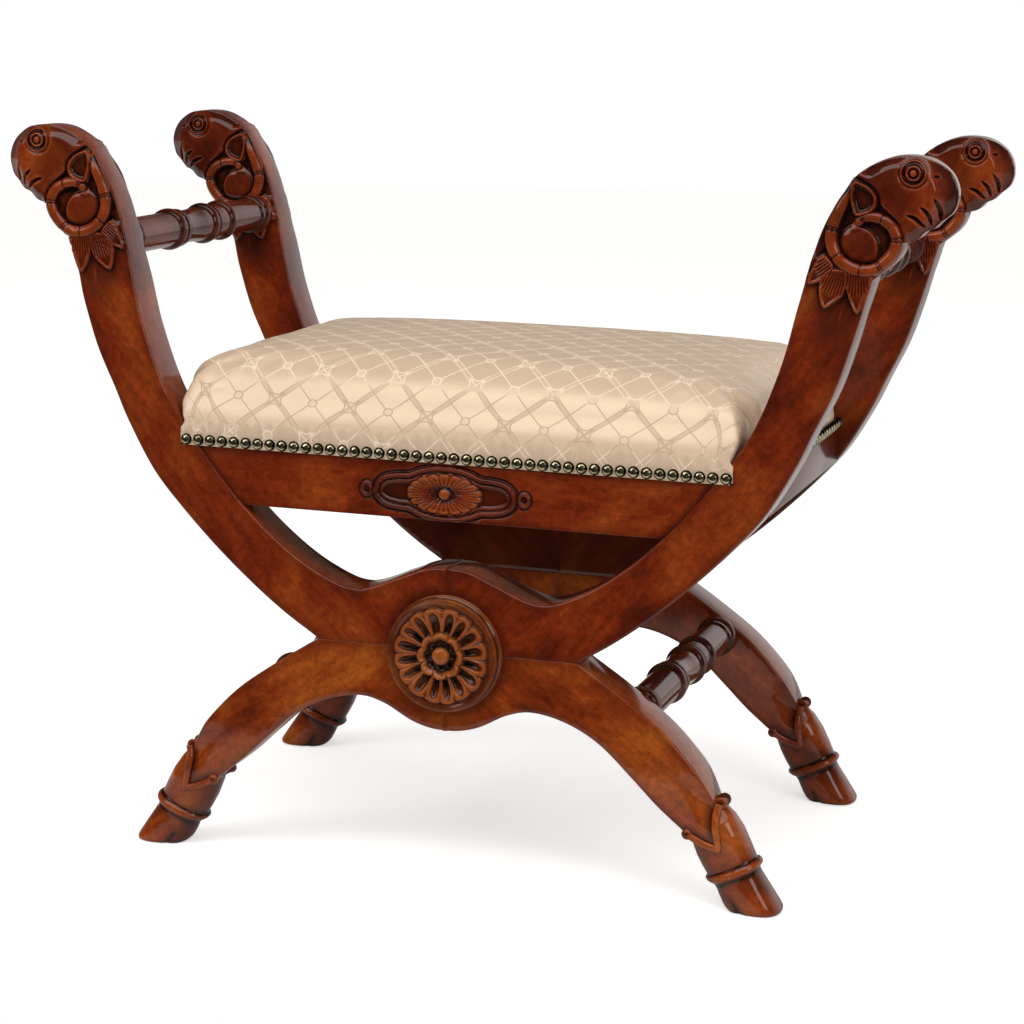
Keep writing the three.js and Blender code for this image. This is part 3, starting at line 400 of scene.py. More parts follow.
def blurred(grid, sigma):
    """A height map softened over a number of its cells."""
    reach = int(3 * sigma)
    kernel = np.exp(-0.5 * (np.arange(-reach, reach + 1) / sigma) ** 2)
    kernel /= kernel.sum()
    for axis in (0, 1):
        pad = [(reach, reach) if k == axis else (0, 0) for k in (0, 1)]
        padded = np.pad(grid, pad, "edge")
        grid = np.apply_along_axis(lambda row: np.convolve(row, kernel, "valid"), axis, padded)
    return grid


def glaze_shade_and_wear(height, cell, fine, wide):
    """Dark glaze and painted shade in the hollows, up to 1, and wear with painted highlight on the ridges,
    down to -1.
    """
    near = blurred(height, fine / cell) - height
    far = blurred(height, wide / cell) - height
    hollow = np.clip(np.maximum(near / 0.9, far / 2.2), 0, 1)
    ridge = np.clip(-near / 0.7, 0, 1) * (1 - hollow)
    return blurred(hollow - ridge, 0.6)


map_glaze_and_shading = glaze_shade_and_wear(map_height, MAP_STEP, 1.6, 4.4)


def head_glaze_and_shading(p):
    """How much dark glaze and painted shade lies at a point of the face, below 0 for wear and painted
    highlight.
    """
    at = (p - MAP_LOW) / MAP_STEP
    cell = np.floor(at).astype(int)
    okay = (cell >= 0).all(axis=1) & (cell[:, 0] < len(map_x) - 1) & (cell[:, 1] < len(map_z) - 1)
    cell = np.where(okay[:, None], cell, 0)
    f = np.clip(at - cell, 0, 1)
    i, j = cell.T
    value = (map_glaze_and_shading[i, j] * (1 - f[:, 0]) * (1 - f[:, 1]) + map_glaze_and_shading[i + 1, j] * f[:, 0] * (1 - f[:, 1])
             + map_glaze_and_shading[i, j + 1] * (1 - f[:, 0]) * f[:, 1] + map_glaze_and_shading[i + 1, j + 1] * f[:, 0] * f[:, 1])
    return np.where(okay, value, 0)


def turned_in(outline, distance):
    """An outline moved inwards by a distance at each of its points; it runs clockwise."""
    before, after = np.roll(outline, 1, axis=0), np.roll(outline, -1, axis=0)
    a = (outline - before) / np.linalg.norm(outline - before, axis=1)[:, None]
    b = (after - outline) / np.linalg.norm(after - outline, axis=1)[:, None]
    normal = np.column_stack([a[:, 1] + b[:, 1], -(a[:, 0] + b[:, 0])])
    normal /= np.maximum(np.linalg.norm(normal, axis=1), 1e-6)[:, None]
    across = np.clip((normal * np.column_stack([b[:, 1], -b[:, 0]])).sum(axis=1), 0.5, 1)
    return outline + normal * (np.asarray(distance) / across)[:, None]


def carved_board(outline, edge_radius, relief, glaze_and_shading_of, coarse, fine=None, fine_zone=None, half=BOARD_HALF,
                 back_relief=None):
    """Points (x, y, z), faces and the glaze, painted shade and painted highlight of a board with an outline,
    carved alike on both faces.

    The outline runs clockwise seen from the front. Its edge is rounded with its own radius at
    each point, the faces are filled with a net of triangles, and the front face is towards -Y.
    """
    count = len(outline)
    arc = np.radians([0, 22.5, 45, 67.5, 90])
    rings = [turned_in(outline, edge_radius * (1 - math.sin(a))) for a in arc]
    base = relief(rings[0])
    heights = [base - edge_radius * (1 - math.cos(a)) for a in arc]
    lo, hi = outline.min(axis=0), outline.max(axis=0)

    def net(step, low, high):
        rows = np.arange(low[1], high[1], step * 0.866)
        columns = np.arange(low[0], high[0], step)
        grid = [np.column_stack([columns + (step / 2 if k % 2 else 0), np.full(len(columns), z)])
                for k, z in enumerate(rows)]
        return np.vstack(grid)

    fill = net(coarse, lo, hi)
    if fine:
        low, high = np.asarray(fine_zone[0], float), np.asarray(fine_zone[1], float)
        outside = ~((fill > low - coarse * 0.4).all(axis=1) & (fill < high + coarse * 0.4).all(axis=1))
        fill = np.vstack([fill[outside], net(fine, low, high)])
    keep = inside(fill, rings[0])
    fill = fill[keep]
    gap = to_line(fill, rings[0], closed=True)[0]
    in_fine = np.zeros(len(fill), bool)
    if fine:
        in_fine = (fill > low).all(axis=1) & (fill < high).all(axis=1)
    fill = fill[gap > np.where(in_fine, (fine or coarse) * 0.6, coarse * 0.35)]
    flat = np.vstack([rings[0], fill])
    loop = [(i, (i + 1) % count) for i in range(count)]
    found = delaunay_2d_cdt([Vector(p) for p in flat], loop, [list(range(count))], 1, 1e-5)
    flat = np.array([(v.x, v.y) for v in found[0]])
    triangles = np.array(found[2])
    a, b, c = (flat[triangles[:, k]] for k in range(3))
    turning = (b[:, 0] - a[:, 0]) * (c[:, 1] - a[:, 1]) - (b[:, 1] - a[:, 1]) * (c[:, 0] - a[:, 0])
    triangles[turning < 0] = triangles[turning < 0][:, ::-1]
    first = {origin: i for i, group in enumerate(found[3]) for origin in group if origin < count}
    face_height = relief(flat)
    points = [np.column_stack([flat[:, 0], -(half + face_height), flat[:, 1]])]
    glaze_and_shading = [glaze_and_shading_of(flat)]
    ring_index = [np.array([first[i] for i in range(count)])]
    total = len(flat)
    edge_glaze_and_shading = glaze_and_shading_of(rings[0])
    for k, (ring, height) in enumerate(zip(rings[1:], heights[1:])):
        points.append(np.column_stack([ring[:, 0], -(half + height), ring[:, 1]]))
        glaze_and_shading.append(edge_glaze_and_shading + (0.12 - edge_glaze_and_shading) * (k + 1) / 4)
        ring_index.append(np.arange(total, total + count))
        total += count
    front = np.vstack(points)
    front_glaze_and_shading = np.concatenate(glaze_and_shading)
    faces = [tuple(t) for t in triangles.tolist()]
    quads = []
    for upper, lower in zip(ring_index[:-1], ring_index[1:]):
        for i in range(count):
            j = (i + 1) % count
            quads.append((upper[i], upper[j], lower[j], lower[i]))
    size = len(front)
    back = front * (1, -1, 1)
    if back_relief:
        front_heights = np.concatenate([face_height, *[base] * 4])
        back_heights = np.concatenate([back_relief(flat), *[back_relief(rings[0])] * 4])
        back[:, 1] -= front_heights - back_heights
    wall = []
    last = ring_index[-1]
    for i in range(count):
        j = (i + 1) % count
        wall.append((last[i], last[j], last[j] + size, last[i] + size))
    mirrored_faces = [tuple(k + size for k in reversed(f)) for f in faces + quads]
    return (np.vstack([front, back]), faces + quads + wall + mirrored_faces,
            np.concatenate([front_glaze_and_shading, front_glaze_and_shading]))


def bands(rows, sides, turned_over=False):
    """Quads between the neighbouring rows of a form that is closed round its sides."""
    quads = []
    for k in range(rows - 1):
        for i in range(sides):
            j = (i + 1) % sides
            quads.append((k * sides + i, k * sides + j, (k + 1) * sides + j, (k + 1) * sides + i))
    return [(a, d, c, b) for a, b, c, d in quads] if turned_over else quads


def rings_along_y(centre, rows, sides):
    """Rings of points round an axis along Y, one for each row of (radius, y)."""
    turns = 2 * np.pi * np.arange(sides) / sides
    return np.vstack([np.column_stack([
        centre[0] + r * np.cos(turns), np.full(sides, y), centre[1] + r * np.sin(turns),
    ]) for r, y in rows])


def swept_tube(line, depth, radius, sides):
    """A round rod along a line of the frame's plane, with closed, rounded ends."""
    before, after = np.vstack([line[0], line[:-1]]), np.vstack([line[1:], line[-1]])
    along = (after - before) / np.linalg.norm(after - before, axis=1)[:, None]
    side = np.column_stack([along[:, 1], -along[:, 0]])
    turns = 2 * np.pi * np.arange(sides) / sides
    depth = np.broadcast_to(depth, len(line))
    rows = [np.column_stack([
        place[0] + way[0] * r * np.cos(turns), y - r * np.sin(turns), place[1] + way[1] * r * np.cos(turns),
    ]) for place, way, r, y in zip(line, side, radius, depth)]
    ends = [(line[k][0], depth[k], line[k][1]) for k in (0, -1)]
    points = np.vstack([*rows, ends])
    faces = bands(len(line), sides)
    tail, head = len(points) - 2, len(points) - 1
    last = (len(line) - 1) * sides
    for i in range(sides):
        j = (i + 1) % sides
        faces.append((tail, j, i))
        faces.append((head, last + i, last + j))
    return points, faces


def lathe(profile, sides, centre, facing):
    """A turned form on an axis along Y: the profile gives (radius, height towards the viewer)."""
    points = rings_along_y(centre, [(r, facing * h) for r, h in profile], sides)
    faces = bands(len(profile), sides)
    return points, faces if facing < 0 else [quad[::-1] for quad in faces]


def joined(*parts):
    """Several (points, faces, glaze with painted shade and highlight) as one."""
    points, faces, glaze_and_shading, total = [], [], [], 0
    for p, f, g in parts:
        points.append(p)
        faces += [tuple(int(i) + total for i in face) for face in f]
        glaze_and_shading.append(np.broadcast_to(g, len(p)))
        total += len(p)
    return np.vstack(points), faces, np.concatenate(glaze_and_shading)


def noise(tree, place, stretch=None, **values):
    """Noise over a place, with its waves per metre along each axis given by the stretch."""
    if stretch:
        place = add_node(tree, "ShaderNodeMapping", None, {"Vector": place}, Scale=stretch).outputs[0]
        values["Scale"] = 1.0
    return add_node(tree, "ShaderNodeTexNoise", None, {"Vector": place}, **values).outputs["Fac"]


def bumped(tree, height, strength, distance):
    """The normal of a surface with a fine height on it."""
    node = add_node(tree, "ShaderNodeBump", None, {"Height": height}, Strength=strength, Distance=distance)
    return node.outputs[0]


def surface(tree, links, **values):
    """The material's one shader, joined to its output."""
    shader = add_node(tree, "ShaderNodeBsdfPrincipled", None, links, **values)
    add_node(tree, "ShaderNodeOutputMaterial", None, {"Surface": shader.outputs[0]})


# Mahogany, stained red-brown, glazed dark in the hollows with painted shade, rubbed to honey on the ridges
# with painted highlights, and then polished with a clear lacquer: cloudy and warm, with a sharp, glassy
# reflection over it.
def stained_mahogany(name, dark, mid, light, lacquer_roughness):
    material, tree = new_material(name)
    grain = add_node(tree, "ShaderNodeAttribute", {"attribute_name": "grain"}).outputs["Vector"]
    glaze_and_shading = add_node(tree, "ShaderNodeAttribute", {"attribute_name": "glaze_and_shading"}).outputs["Fac"]
    # The stain took in clouds of about 60 mm, drawn out a little along the grain.
    cloud = noise(tree, grain, (9, 15, 15), Detail=5.0, Roughness=0.6, Distortion=0.4)
    tone = add_node(tree, "ShaderNodeValToRGB", None, {"Fac": cloud})
    ramp = tone.color_ramp
    ramp.elements[0].position, ramp.elements[0].color = 0.34, linear(dark)
    ramp.elements[1].position, ramp.elements[1].color = 0.68, linear(light)
    middle = ramp.elements.new(0.50)
    middle.color = linear(mid)
    # Figure of the wood: soft streaks 8 mm apart. Pores lie about 1.2 mm apart.
    figure = noise(tree, grain, (12, 120, 120), Detail=3.0, Distortion=0.7)
    pores = noise(tree, grain, (40, 820, 820), Detail=2.0)
    mottle = noise(tree, grain, Scale=150.0, Detail=4.0, Roughness=0.65)
    wood = tone.outputs["Color"]
    for fleck, reach in (
        (figure, (0.3, 0.7, 0.86, 1.12)),
        (pores, (0.35, 0.62, 0.88, 1.04)),
        (mottle, (0.32, 0.68, 0.72, 1.24)),
    ):
        wood = mixed(tree, 1.0, wood, ranged(tree, fleck, *reach), blend="MULTIPLY")
    # Rubbed ridges as wear and painted highlight, then the dark glaze with painted shade, which lies
    # unevenly.
    rubbed_and_lit = maths(tree, "MULTIPLY", glaze_and_shading, -0.5, clamp=True)
    wood = mixed(tree, rubbed_and_lit, wood, linear("#A4531A"))
    amount = maths(tree, "MULTIPLY", glaze_and_shading, ranged(tree, mottle, 0.3, 0.7, 0.7, 1.3), clamp=True)
    wood = mixed(tree, amount, wood, linear("#140502"))
    # Distressing: scattered dark nicks about 1 mm across, knocked in before the stain.
    nicks = add_node(tree, "ShaderNodeTexVoronoi", {"feature": "F1"}, {"Vector": grain},
                     Scale=75.0, Randomness=1.0)
    wood = mixed(tree, ranged(tree, nicks.outputs["Distance"], 0.03, 0.07, 0.7, 0.0), wood, linear("#140502"))
    surface(tree, {"Base Color": wood, "Normal": bumped(tree, pores, 0.10, 0.0004)},
            Roughness=0.5, IOR=1.45, Specular_IOR_Level=0.04, Coat_Weight=0.9,
            Coat_Roughness=lacquer_roughness, Coat_IOR=1.42)
    return material


mahogany = stained_mahogany("mahogany_stained_and_lacquered", "#4A1505", "#70250A", "#8C3D12", 0.09)


def store_vectors(made, name, vectors):
    """Keeps a vector at each point of a mesh."""
    held = made.attributes.new(name, "FLOAT_VECTOR", "POINT")
    held.data.foreach_set("vector", vectors.astype(np.float32).ravel())


def wooden_piece(name, points, faces, glaze_and_shading, finish, node, grain_way, grain_shift):
    """A piece of stained wood from points in millimetres, with the coordinates of its grain."""
    made = bpy.data.meshes.new(name)
    made.from_pydata((np.asarray(points) * MM).tolist(), [], faces)
    way = np.array(grain_way, float)
    way /= np.linalg.norm(way)
    other = np.cross(way, (0, 1, 0) if abs(way[1]) < 0.9 else (1, 0, 0))
    other /= np.linalg.norm(other)
    third = np.cross(way, other)
    store_vectors(made, "grain", np.asarray(points) @ np.column_stack([way, other, third]) * MM + grain_shift)
    held = made.attributes.new("glaze_and_shading", "FLOAT", "POINT")
    held.data.foreach_set("value", np.broadcast_to(np.asarray(glaze_and_shading, np.float32), len(points)).copy())
    made.shade_smooth()
    made.materials.append(finish)
    piece = new_object(name, made)
    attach(piece, "root")
    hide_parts(node)


def flipped(points, faces, sign_x, sign_y):
    """The same piece mirrored across X, across Y or across both."""
    points = points * (sign_x, sign_y, 1)
    return points, faces if sign_x * sign_y > 0 else [tuple(reversed(face)) for face in faces]


# Outline of the arm, clockwise from the hub's top, with the radius to which its edge is eased.
pieces = [
    (smooth_line(ARM_INNER_EDGE, 3.0), 2.6),
    (smooth_line(ARM_CROWN, 1.6), 0.9),
    (smooth_line(ARM_CHIN, 1.4), 0.9),
    (smooth_line(ARM_HORN_SIDE, 1.6), 2.4),
    (smooth_line(ARM_OUTER_EDGE, 3.4), 2.6),
]
GLUE_STEPS = 39
BUTT_STEPS = 24
GLUED_EASING = 0.5
BUTT_EASING = 0.12
outline = [points[:-1] for points, _ in pieces]
easing = [np.full(len(points) - 1, radius) for points, radius in pieces]
glue_line = np.linspace((129, CROTCH + JOINT_GAP), (JOINT_GAP, CROTCH + JOINT_GAP), GLUE_STEPS + 1)
butt_joint = np.linspace((JOINT_GAP, CROTCH + JOINT_GAP), (JOINT_GAP, 303), BUTT_STEPS + 1)
arm_outline = np.vstack([*outline, glue_line[:-1], butt_joint[:-1]])
arm_outline[0, 0] = JOINT_GAP
easing = np.concatenate([*easing, np.full(GLUE_STEPS + BUTT_STEPS, GLUED_EASING)])
for _ in range(4):
    easing = (np.roll(easing, 1) + 2 * easing + np.roll(easing, -1)) / 4
easing[-GLUE_STEPS - BUTT_STEPS:-BUTT_STEPS] = GLUED_EASING
easing[-BUTT_STEPS:] = BUTT_EASING
easing[0] = BUTT_EASING


def rosette_shade(p):
    """Painted shade, with dark glaze, on the boards round the rosette's foot."""
    return 0.5 * (1 - rise(np.abs(np.hypot(p[:, 0], p[:, 1] - HUB_HEIGHT) - 55), 1, 12))


def arm_glaze_and_shading(p):
    """Dark glaze and painted shade on the arm's faces: round the edges, seams, leaves, ear and rosette, in
    the hollows and over the head, with a painted highlight on the cheek and on rubbed ridges.
    """
    near_edge = to_line(p, arm_outline, closed=True)[0]
    # Over the head the faces are painted darker, with a painted highlight left on the cheek.
    head = rise(p[:, 1], 560, 640)
    lit_cheek = 1 - rise(np.hypot(p[:, 0] - 434, p[:, 1] - 668), 6, 26)
    edge = 0.30 * (1 - rise(near_edge, 0.5, 12)) * (1 - 0.6 * head)
    edge = edge + head * (0.44 + 0.16 * (1 - rise(near_edge, 2, 18)) - 0.40 * lit_cheek)
    below_leaves = 0.55 * (1 - rise(np.abs(p[:, 1] - 562), 4, 40)) * (1 - rise(np.abs(p[:, 0] - 358), 8, 34))
    seam = 0.3 * (1 - rise(p[:, 1] - CROTCH, 0.2, 1.2)) * (p[:, 1] < CROTCH + 1.5)
    wear_and_shading = head_glaze_and_shading(p)
    in_ear = 0.5 * rise(depth_in(p, ear_rim), 1.5, 6.0)
    roots = 0.5 * (1 - rise(np.abs(p[:, 1] - 596), 4, 16)) * rise(p[:, 1], 562, 590)
    below_leaves = below_leaves * (wear_and_shading > -0.1)
    flat = np.maximum.reduce([edge, seam, rosette_shade(p), below_leaves, in_ear, roots])
    wear_and_shading = np.where(wear_and_shading < 0, 0.6 * wear_and_shading, 1.15 * wear_and_shading)
    return np.clip(wear_and_shading + flat * (1 - np.abs(wear_and_shading)), -1, 1)


board = carved_board(arm_outline, easing, head_relief, arm_glaze_and_shading, coarse=5.5, fine=0.85,
                     fine_zone=((326, 548), (462, 706)))
groove = np.zeros(len(horn_line))
for place in HORN_GROOVES:
    near, along = to_line(np.array([place], float), horn_line)
    groove = np.maximum(groove, np.exp(-0.5 * ((horn_length - along[0]) / 0.55) ** 2))
end_round = np.sqrt(np.clip(1 - (1 - np.clip((horn_length[-1] - horn_length) / 4.0, 0, 1)) ** 2, 0.02, 1))
tube_radius = (HORN_RADIUS - 0.75 * groove) * end_round
HORN_SIDES = 20
EYE_SIDES = 40
parts = [board]
for facing in (-1, 1):
    depth = facing * (BOARD_HALF - HORN_RADIUS.mean() + 0.8 - 2.5 * (1 - rise(horn_length, 0, 16)))
    points, faces = swept_tube(horn_line, depth, tube_radius, HORN_SIDES)
    # The horn rod is darker down towards the ground it rises from, a painted shadow, and a little lighter on
    # its top, a painted highlight; its grooves are darker with glaze and painted shade.
    under = np.clip((BOARD_HALF - 1.0 - np.abs(points[:, 1])) / 2.6, 0, 1)
    glaze_and_shading = -0.25 + 1.3 * under
    on_rod = slice(0, len(horn_line) * HORN_SIDES)
    glaze_and_shading[on_rod] = np.maximum(glaze_and_shading[on_rod], np.repeat(1.4 * groove - 0.25, HORN_SIDES))
    parts.append((points, faces, glaze_and_shading))
    # The third number of each eye ring is its glaze: dark in the grooves with painted shade, below 0 on the
    # ridges for a painted highlight.
    eye_rings = [(12.2, -3.4, 1.0), (11.9, -0.8, 0.8), (11.4, 0.9, 0.1), (10.7, 1.3, -0.2), (10.1, 0.6, 0.4),
                 (9.6, -1.0, 1.0), (8.6, -1.6, 1.0), (7.7, -1.4, 1.0), (7.1, -0.2, 0.8), (6.5, 0.9, 0.1),
                 (5.4, 1.1, -0.1), (4.9, 0.4, 0.6), (4.4, -1.0, 1.0), (3.5, -1.1, 1.0), (3.0, 0.3, 0.5),
                 (2.4, 1.4, -0.1), (1.3, 1.9, -0.3), (0.02, 2.0, -0.3)]
    points, faces = lathe([(r, BOARD_HALF + 0.9 + h) for r, h, _ in eye_rings], EYE_SIDES, EYE, facing)
    points[:, 1] -= facing * head_fall(points[:, [0, 2]])
    dark = np.repeat([wear_and_shading for _, _, wear_and_shading in eye_rings], EYE_SIDES)
    parts.append((points, faces, dark))
arm_points, arm_faces, arm_point_glaze_and_shading = joined(*parts)
# Inside, under the seat, the inner faces of the boards are darkened from about 460 mm down: painted shade
# under the seat.
inner_face = (arm_points[:, 1] > BOARD_HALF - 4) & (arm_points[:, 2] < 470)
painted_shade_under_seat = np.maximum(arm_point_glaze_and_shading, 0.6 * (1 - rise(arm_points[:, 2], 380, 460)))
arm_point_glaze_and_shading = np.where(inner_face, painted_shade_under_seat, arm_point_glaze_and_shading)


def four_boards(kind, points, faces, glaze_and_shading, finish, grain_way, grain_start):
    """The four boards of a kind, mirrored from the front right one."""
    for side_name, sign_x in SIDES:
        for frame_name, sign_y in FRAMES:
            placed, turned = flipped(points, faces, sign_x, sign_y)
            placed = placed + (0, -sign_y * FRAME_HALF_SPACING, 0)
            node = f"{frame_name}_{side_name}_{kind}"
            way = (grain_way[0] * sign_x, 0, grain_way[1])
            wooden_piece(f"{node}_carved", placed, turned, glaze_and_shading, finish, node, way,
                         grain_start + 0.37 * sign_x + 0.19 * sign_y)


four_boards("arm", arm_points, arm_faces, arm_point_glaze_and_shading, mahogany, (0.62, 0.78), 0.0)

# Legs: four curved boards of the same mahogany, glued under the arms along the hub. Each runs out
# in a V-shaped cuff with rolled tabs, and below it the wood is carved to an ankle, ring and hoof.
LEG_TOP = [(129, 224), (168, 199), (210, 168.5), (240, 138), (254, 118), (263.5, 99)]
LEG_UNDERSIDE = [(236, 73), (209, 95), (184, 119), (152, 148), (120, 165), (87, 172), (62, 167),
                 (35, 153), (16, 147.2), (0, 146)]
CUFF_POINT = (268.0, 59.0)
# Each row of the ankle and hoof: its outer end, its inner end, its half depth and its squareness.
HOOF_ROWS = [
    ((264, 104), (232, 78), 10.0, 0.80), ((270, 98), (236, 71), 17.5, 0.72),
    ((277.5, 90), (240, 61), 21.8, 0.72), ((286.5, 77), (244.5, 49), 21.8, 0.75),
    ((294, 63), (250, 38), 20.6, 0.82), ((299, 53), (254, 31), 19.8, 0.9),
    ((300.4, 50.4), (254.4, 29.0), 19.6, 0.9), ((302.8, 50.2), (253.2, 28.2), 21.2, 0.9),
    ((305.0, 48.8), (253, 26.6), 22.8, 0.9), ((305.8, 46.5), (254.6, 24.6), 23.6, 0.9),
    ((305.2, 44.2), (257, 23.2), 23.0, 0.9), ((303.6, 42.8), (259.4, 22.2), 21.2, 0.9),
    ((303.0, 41.6), (261.4, 21.4), 20.0, 0.90), ((305, 37), (264, 18), 20.3, 0.88),
    ((310, 29), (267, 12), 21.6, 0.82), ((317.5, 17.6), (270.4, 6), 22.8, 0.78),
    ((323.6, 8), (273, 2.6), 23.4, 0.74), ((326, 3.8), (274.6, 1.2), 23.5, 0.74),
    ((325.8, 1.2), (275.6, 0.3), 23.2, 0.74), ((324, 0), (277, 0), 21.6, 0.74),
]

leg_parts = [
    (np.linspace((JOINT_GAP, CROTCH - JOINT_GAP), (129, CROTCH - JOINT_GAP), 40), 0.5),
    (smooth_line(LEG_TOP, 3.2), 2.6),
    (np.linspace((263.5, 99), CUFF_POINT, 18), 1.2),
    (np.linspace(CUFF_POINT, (236, 73), 16), 1.2),
    (smooth_line(LEG_UNDERSIDE, 3.2), 2.6),
    (np.linspace((JOINT_GAP, 146), (JOINT_GAP, CROTCH - JOINT_GAP), 20), 0.12),
]
leg_outline = np.vstack([points[:-1] for points, _ in leg_parts])
leg_easing = np.concatenate([np.full(len(points) - 1, radius) for points, radius in leg_parts])
leg_outline[:, 0] = np.maximum(leg_outline[:, 0], JOINT_GAP)
cuff_line = np.vstack([smooth_line([(266.5, 102), (264.5, 92), (265.5, 78), (268.6, 60.5)], 1.2),
                       smooth_line([(268.6, 60.5), (254, 64.5), (238.5, 72)], 1.2)[1:]])


def leg_glaze_and_shading(p):
    """Dark glaze and painted shade on the leg's faces: along the edges, the seam and the cuff, and round the
    rosette.
    """
    edge = 0.30 * (1 - rise(to_line(p, leg_outline, closed=True)[0], 0.5, 12))
    seam = 0.3 * (1 - rise(CROTCH - p[:, 1], 0.2, 1.2))
    cuff = 0.9 * (1 - rise(to_line(p, cuff_line)[0], 2.4, 13))
    return np.clip(np.maximum.reduce([cuff, edge, seam, rosette_shade(p)]), 0, 1)


def leg_face(p):
    """The plain face of the leg, cut back along the cuff and falling away to its outer edge there."""
    outer_edge = to_line(p, smooth_line(LEG_TOP, 3.0)[-24:])[0]
    falling = 6.0 * (1 - rise(outer_edge, 0, 22)) * (1 - rise(p[:, 1], 98, 130))
    return -1.3 * (1 - rise(to_line(p, cuff_line)[0], 2.0, 5.0)) - falling


golden_mahogany = stained_mahogany("mahogany_stained_golden_brown", "#541B06", "#7E310C", "#A05018", 0.09)
parts = [carved_board(leg_outline, leg_easing, leg_face, leg_glaze_and_shading, coarse=5.5, fine=2.2,
                      fine_zone=((222, 44), (272, 112)))]
CUFF_SIDES = 16
for facing in (-1, 1):
    length = np.r_[0, np.cumsum(np.linalg.norm(np.diff(cuff_line, axis=0), axis=1))]
    sunk = 6.5 * (1 - rise(length, 0, 24))
    depth = facing * (BOARD_HALF - 0.8 - sunk)
    points, faces = swept_tube(cuff_line, depth, np.full(len(cuff_line), 3.6), CUFF_SIDES)
    # Each cuff rod darkens towards the board where it sinks into the face: painted shadow under the rod.
    from_top = np.append(np.repeat(BOARD_HALF + 1.2 - sunk, CUFF_SIDES), (BOARD_HALF - 6, BOARD_HALF))
    parts.append((points, faces, 1.3 * np.clip((from_top - np.abs(points[:, 1])) / 3.0, 0, 1) - 0.15))


def rolled_tab(centre, radius, reach):
    """A rolled end of the cuff, across the edge of the board."""
    rows = [(-1.0, 0.02), (-0.985, 0.45), (-0.95, 0.8), (-0.88, 1.0), (-0.80, 1.0), (-0.70, 0.75),
            (0.0, 0.55), (0.70, 0.75), (0.80, 1.0), (0.88, 1.0), (0.95, 0.8), (0.985, 0.45), (1.0, 0.02)]
    # The tab is darker at its ends and where it narrows, lighter on its two swellings: painted shade and
    # painted highlight.
    glaze_and_shading = [0.9, 0.5, 0.1, -0.4, 0.1, 0.8, 0.3, 0.8, 0.1, -0.4, 0.1, 0.5, 0.9]
    sides = 24
    points = rings_along_y(centre, [(radius * r, y * reach) for y, r in rows], sides)
    return points, bands(len(rows), sides, turned_over=True), np.repeat(glaze_and_shading, sides)


parts.append(rolled_tab((266.4, 100.4), 6.0, 10.0))
parts.append(rolled_tab((238.5, 72.0), 5.2, 26.0))


def hoof_form():
    """The ankle, its ring and the hoof, as one skin over oval rows, cut level at the sole."""
    rows = np.array([[*outer, *inner, depth, square] for outer, inner, depth, square in HOOF_ROWS], float)
    place = np.arange(len(rows))
    fine_at = np.unique(np.concatenate([
        place, np.linspace(0, 5, 22), np.linspace(6, 12, 25), np.linspace(12, 19, 36),
    ]))
    table = np.column_stack([np.interp(fine_at, place, rows[:, k]) for k in range(rows.shape[1])])
    sides = 64
    turns = 2 * np.pi * np.arange(sides) / sides
    points, glaze_and_shading = [], []
    for at, (ox, oz, ix, iz, depth, square) in zip(fine_at, table):
        cosine, sine = np.cos(turns), np.sin(turns)
        along = np.sign(cosine) * np.abs(cosine) ** square
        out = np.sign(sine) * np.abs(sine) ** square
        x = (ox + ix) / 2 + along * (ox - ix) / 2
        z = (oz + iz) / 2 + along * (oz - iz) / 2
        half = depth * (1 + 0.05 * along) * (1 - 0.45 * rise(along, 0.0, 1.0) * (1 - rise(at, 0.5, 3.5)))
        cleft = np.exp(-0.5 * ((along + 0.42) / 0.09) ** 2) * rise(at, 13.4, 15.5)
        half = half - 2.0 * cleft * np.abs(out) ** 0.5
        points.append(np.column_stack([x, -out * half, z]))
        # The hoof is darker round the ring, in the cleft, at the heel and low towards the sole, and lighter
        # on the crests and the front of the ankle: painted shade and painted highlight, with wear on the
        # crests.
        ring = math.exp(-0.5 * ((at - 6.0) / 0.7) ** 2) + 0.8 * math.exp(-0.5 * ((at - 12.1) / 0.6) ** 2)
        low = 0.55 * rise(at, 15.5, 18.5)
        crest = 0.7 * math.exp(-0.5 * ((at - 9.0) / 1.0) ** 2)
        crest = crest + 0.45 * rise(at, 14, 15.5) * (1 - rise(at, 17, 18.5))
        lit = 0.5 * (1 - rise(at, 3.5, 5.5)) * rise(along, 0.0, 0.9) * rise(at, 0.5, 2)
        rubbed_and_lit = crest * rise(along, -0.4, 0.6) + lit
        glaze_and_shading.append(np.clip(0.10 + 0.14 * rise(at, 12, 14) + ring + low * rise(-along, -0.4, 0.6)
                             + 0.7 * cleft + 0.5 * rise(-along, 0.2, 1.0) - rubbed_and_lit, -1, 1))
    count = len(fine_at)
    points = np.vstack(points)
    faces = bands(count, sides)
    faces.append(tuple(range(sides - 1, -1, -1)))
    faces.append(tuple((count - 1) * sides + i for i in range(sides)))
    points[:, 2] = np.maximum(points[:, 2], 0)
    return points, faces, np.concatenate(glaze_and_shading)


parts.append(hoof_form())
leg_points, leg_faces, leg_point_glaze_and_shading = joined(*parts)
four_boards("leg", leg_points, leg_faces, leg_point_glaze_and_shading, golden_mahogany, (0.8, -0.6), 1.3)

# Hub rosettes: a turned disc on a wider foot, glued and pegged on each hub. Its dished face is
# carved with sixteen gouged petals round a small eight-petal flower with a button.
ROSETTE_RADIUS = 54.0
ROSETTE_FOOT = 56.0
ROSETTE_SIDES = 288


def petal_edge(turn, petals, low, high):
    """Radius of a scalloped outline at an angle, and the place across its petal, -1 to 1."""
    across = 2 * ((turn * petals / (2 * np.pi)) % 1) - 1
    return low + (high - low) * np.sqrt(np.clip(1 - across ** 2, 0, 1)), across


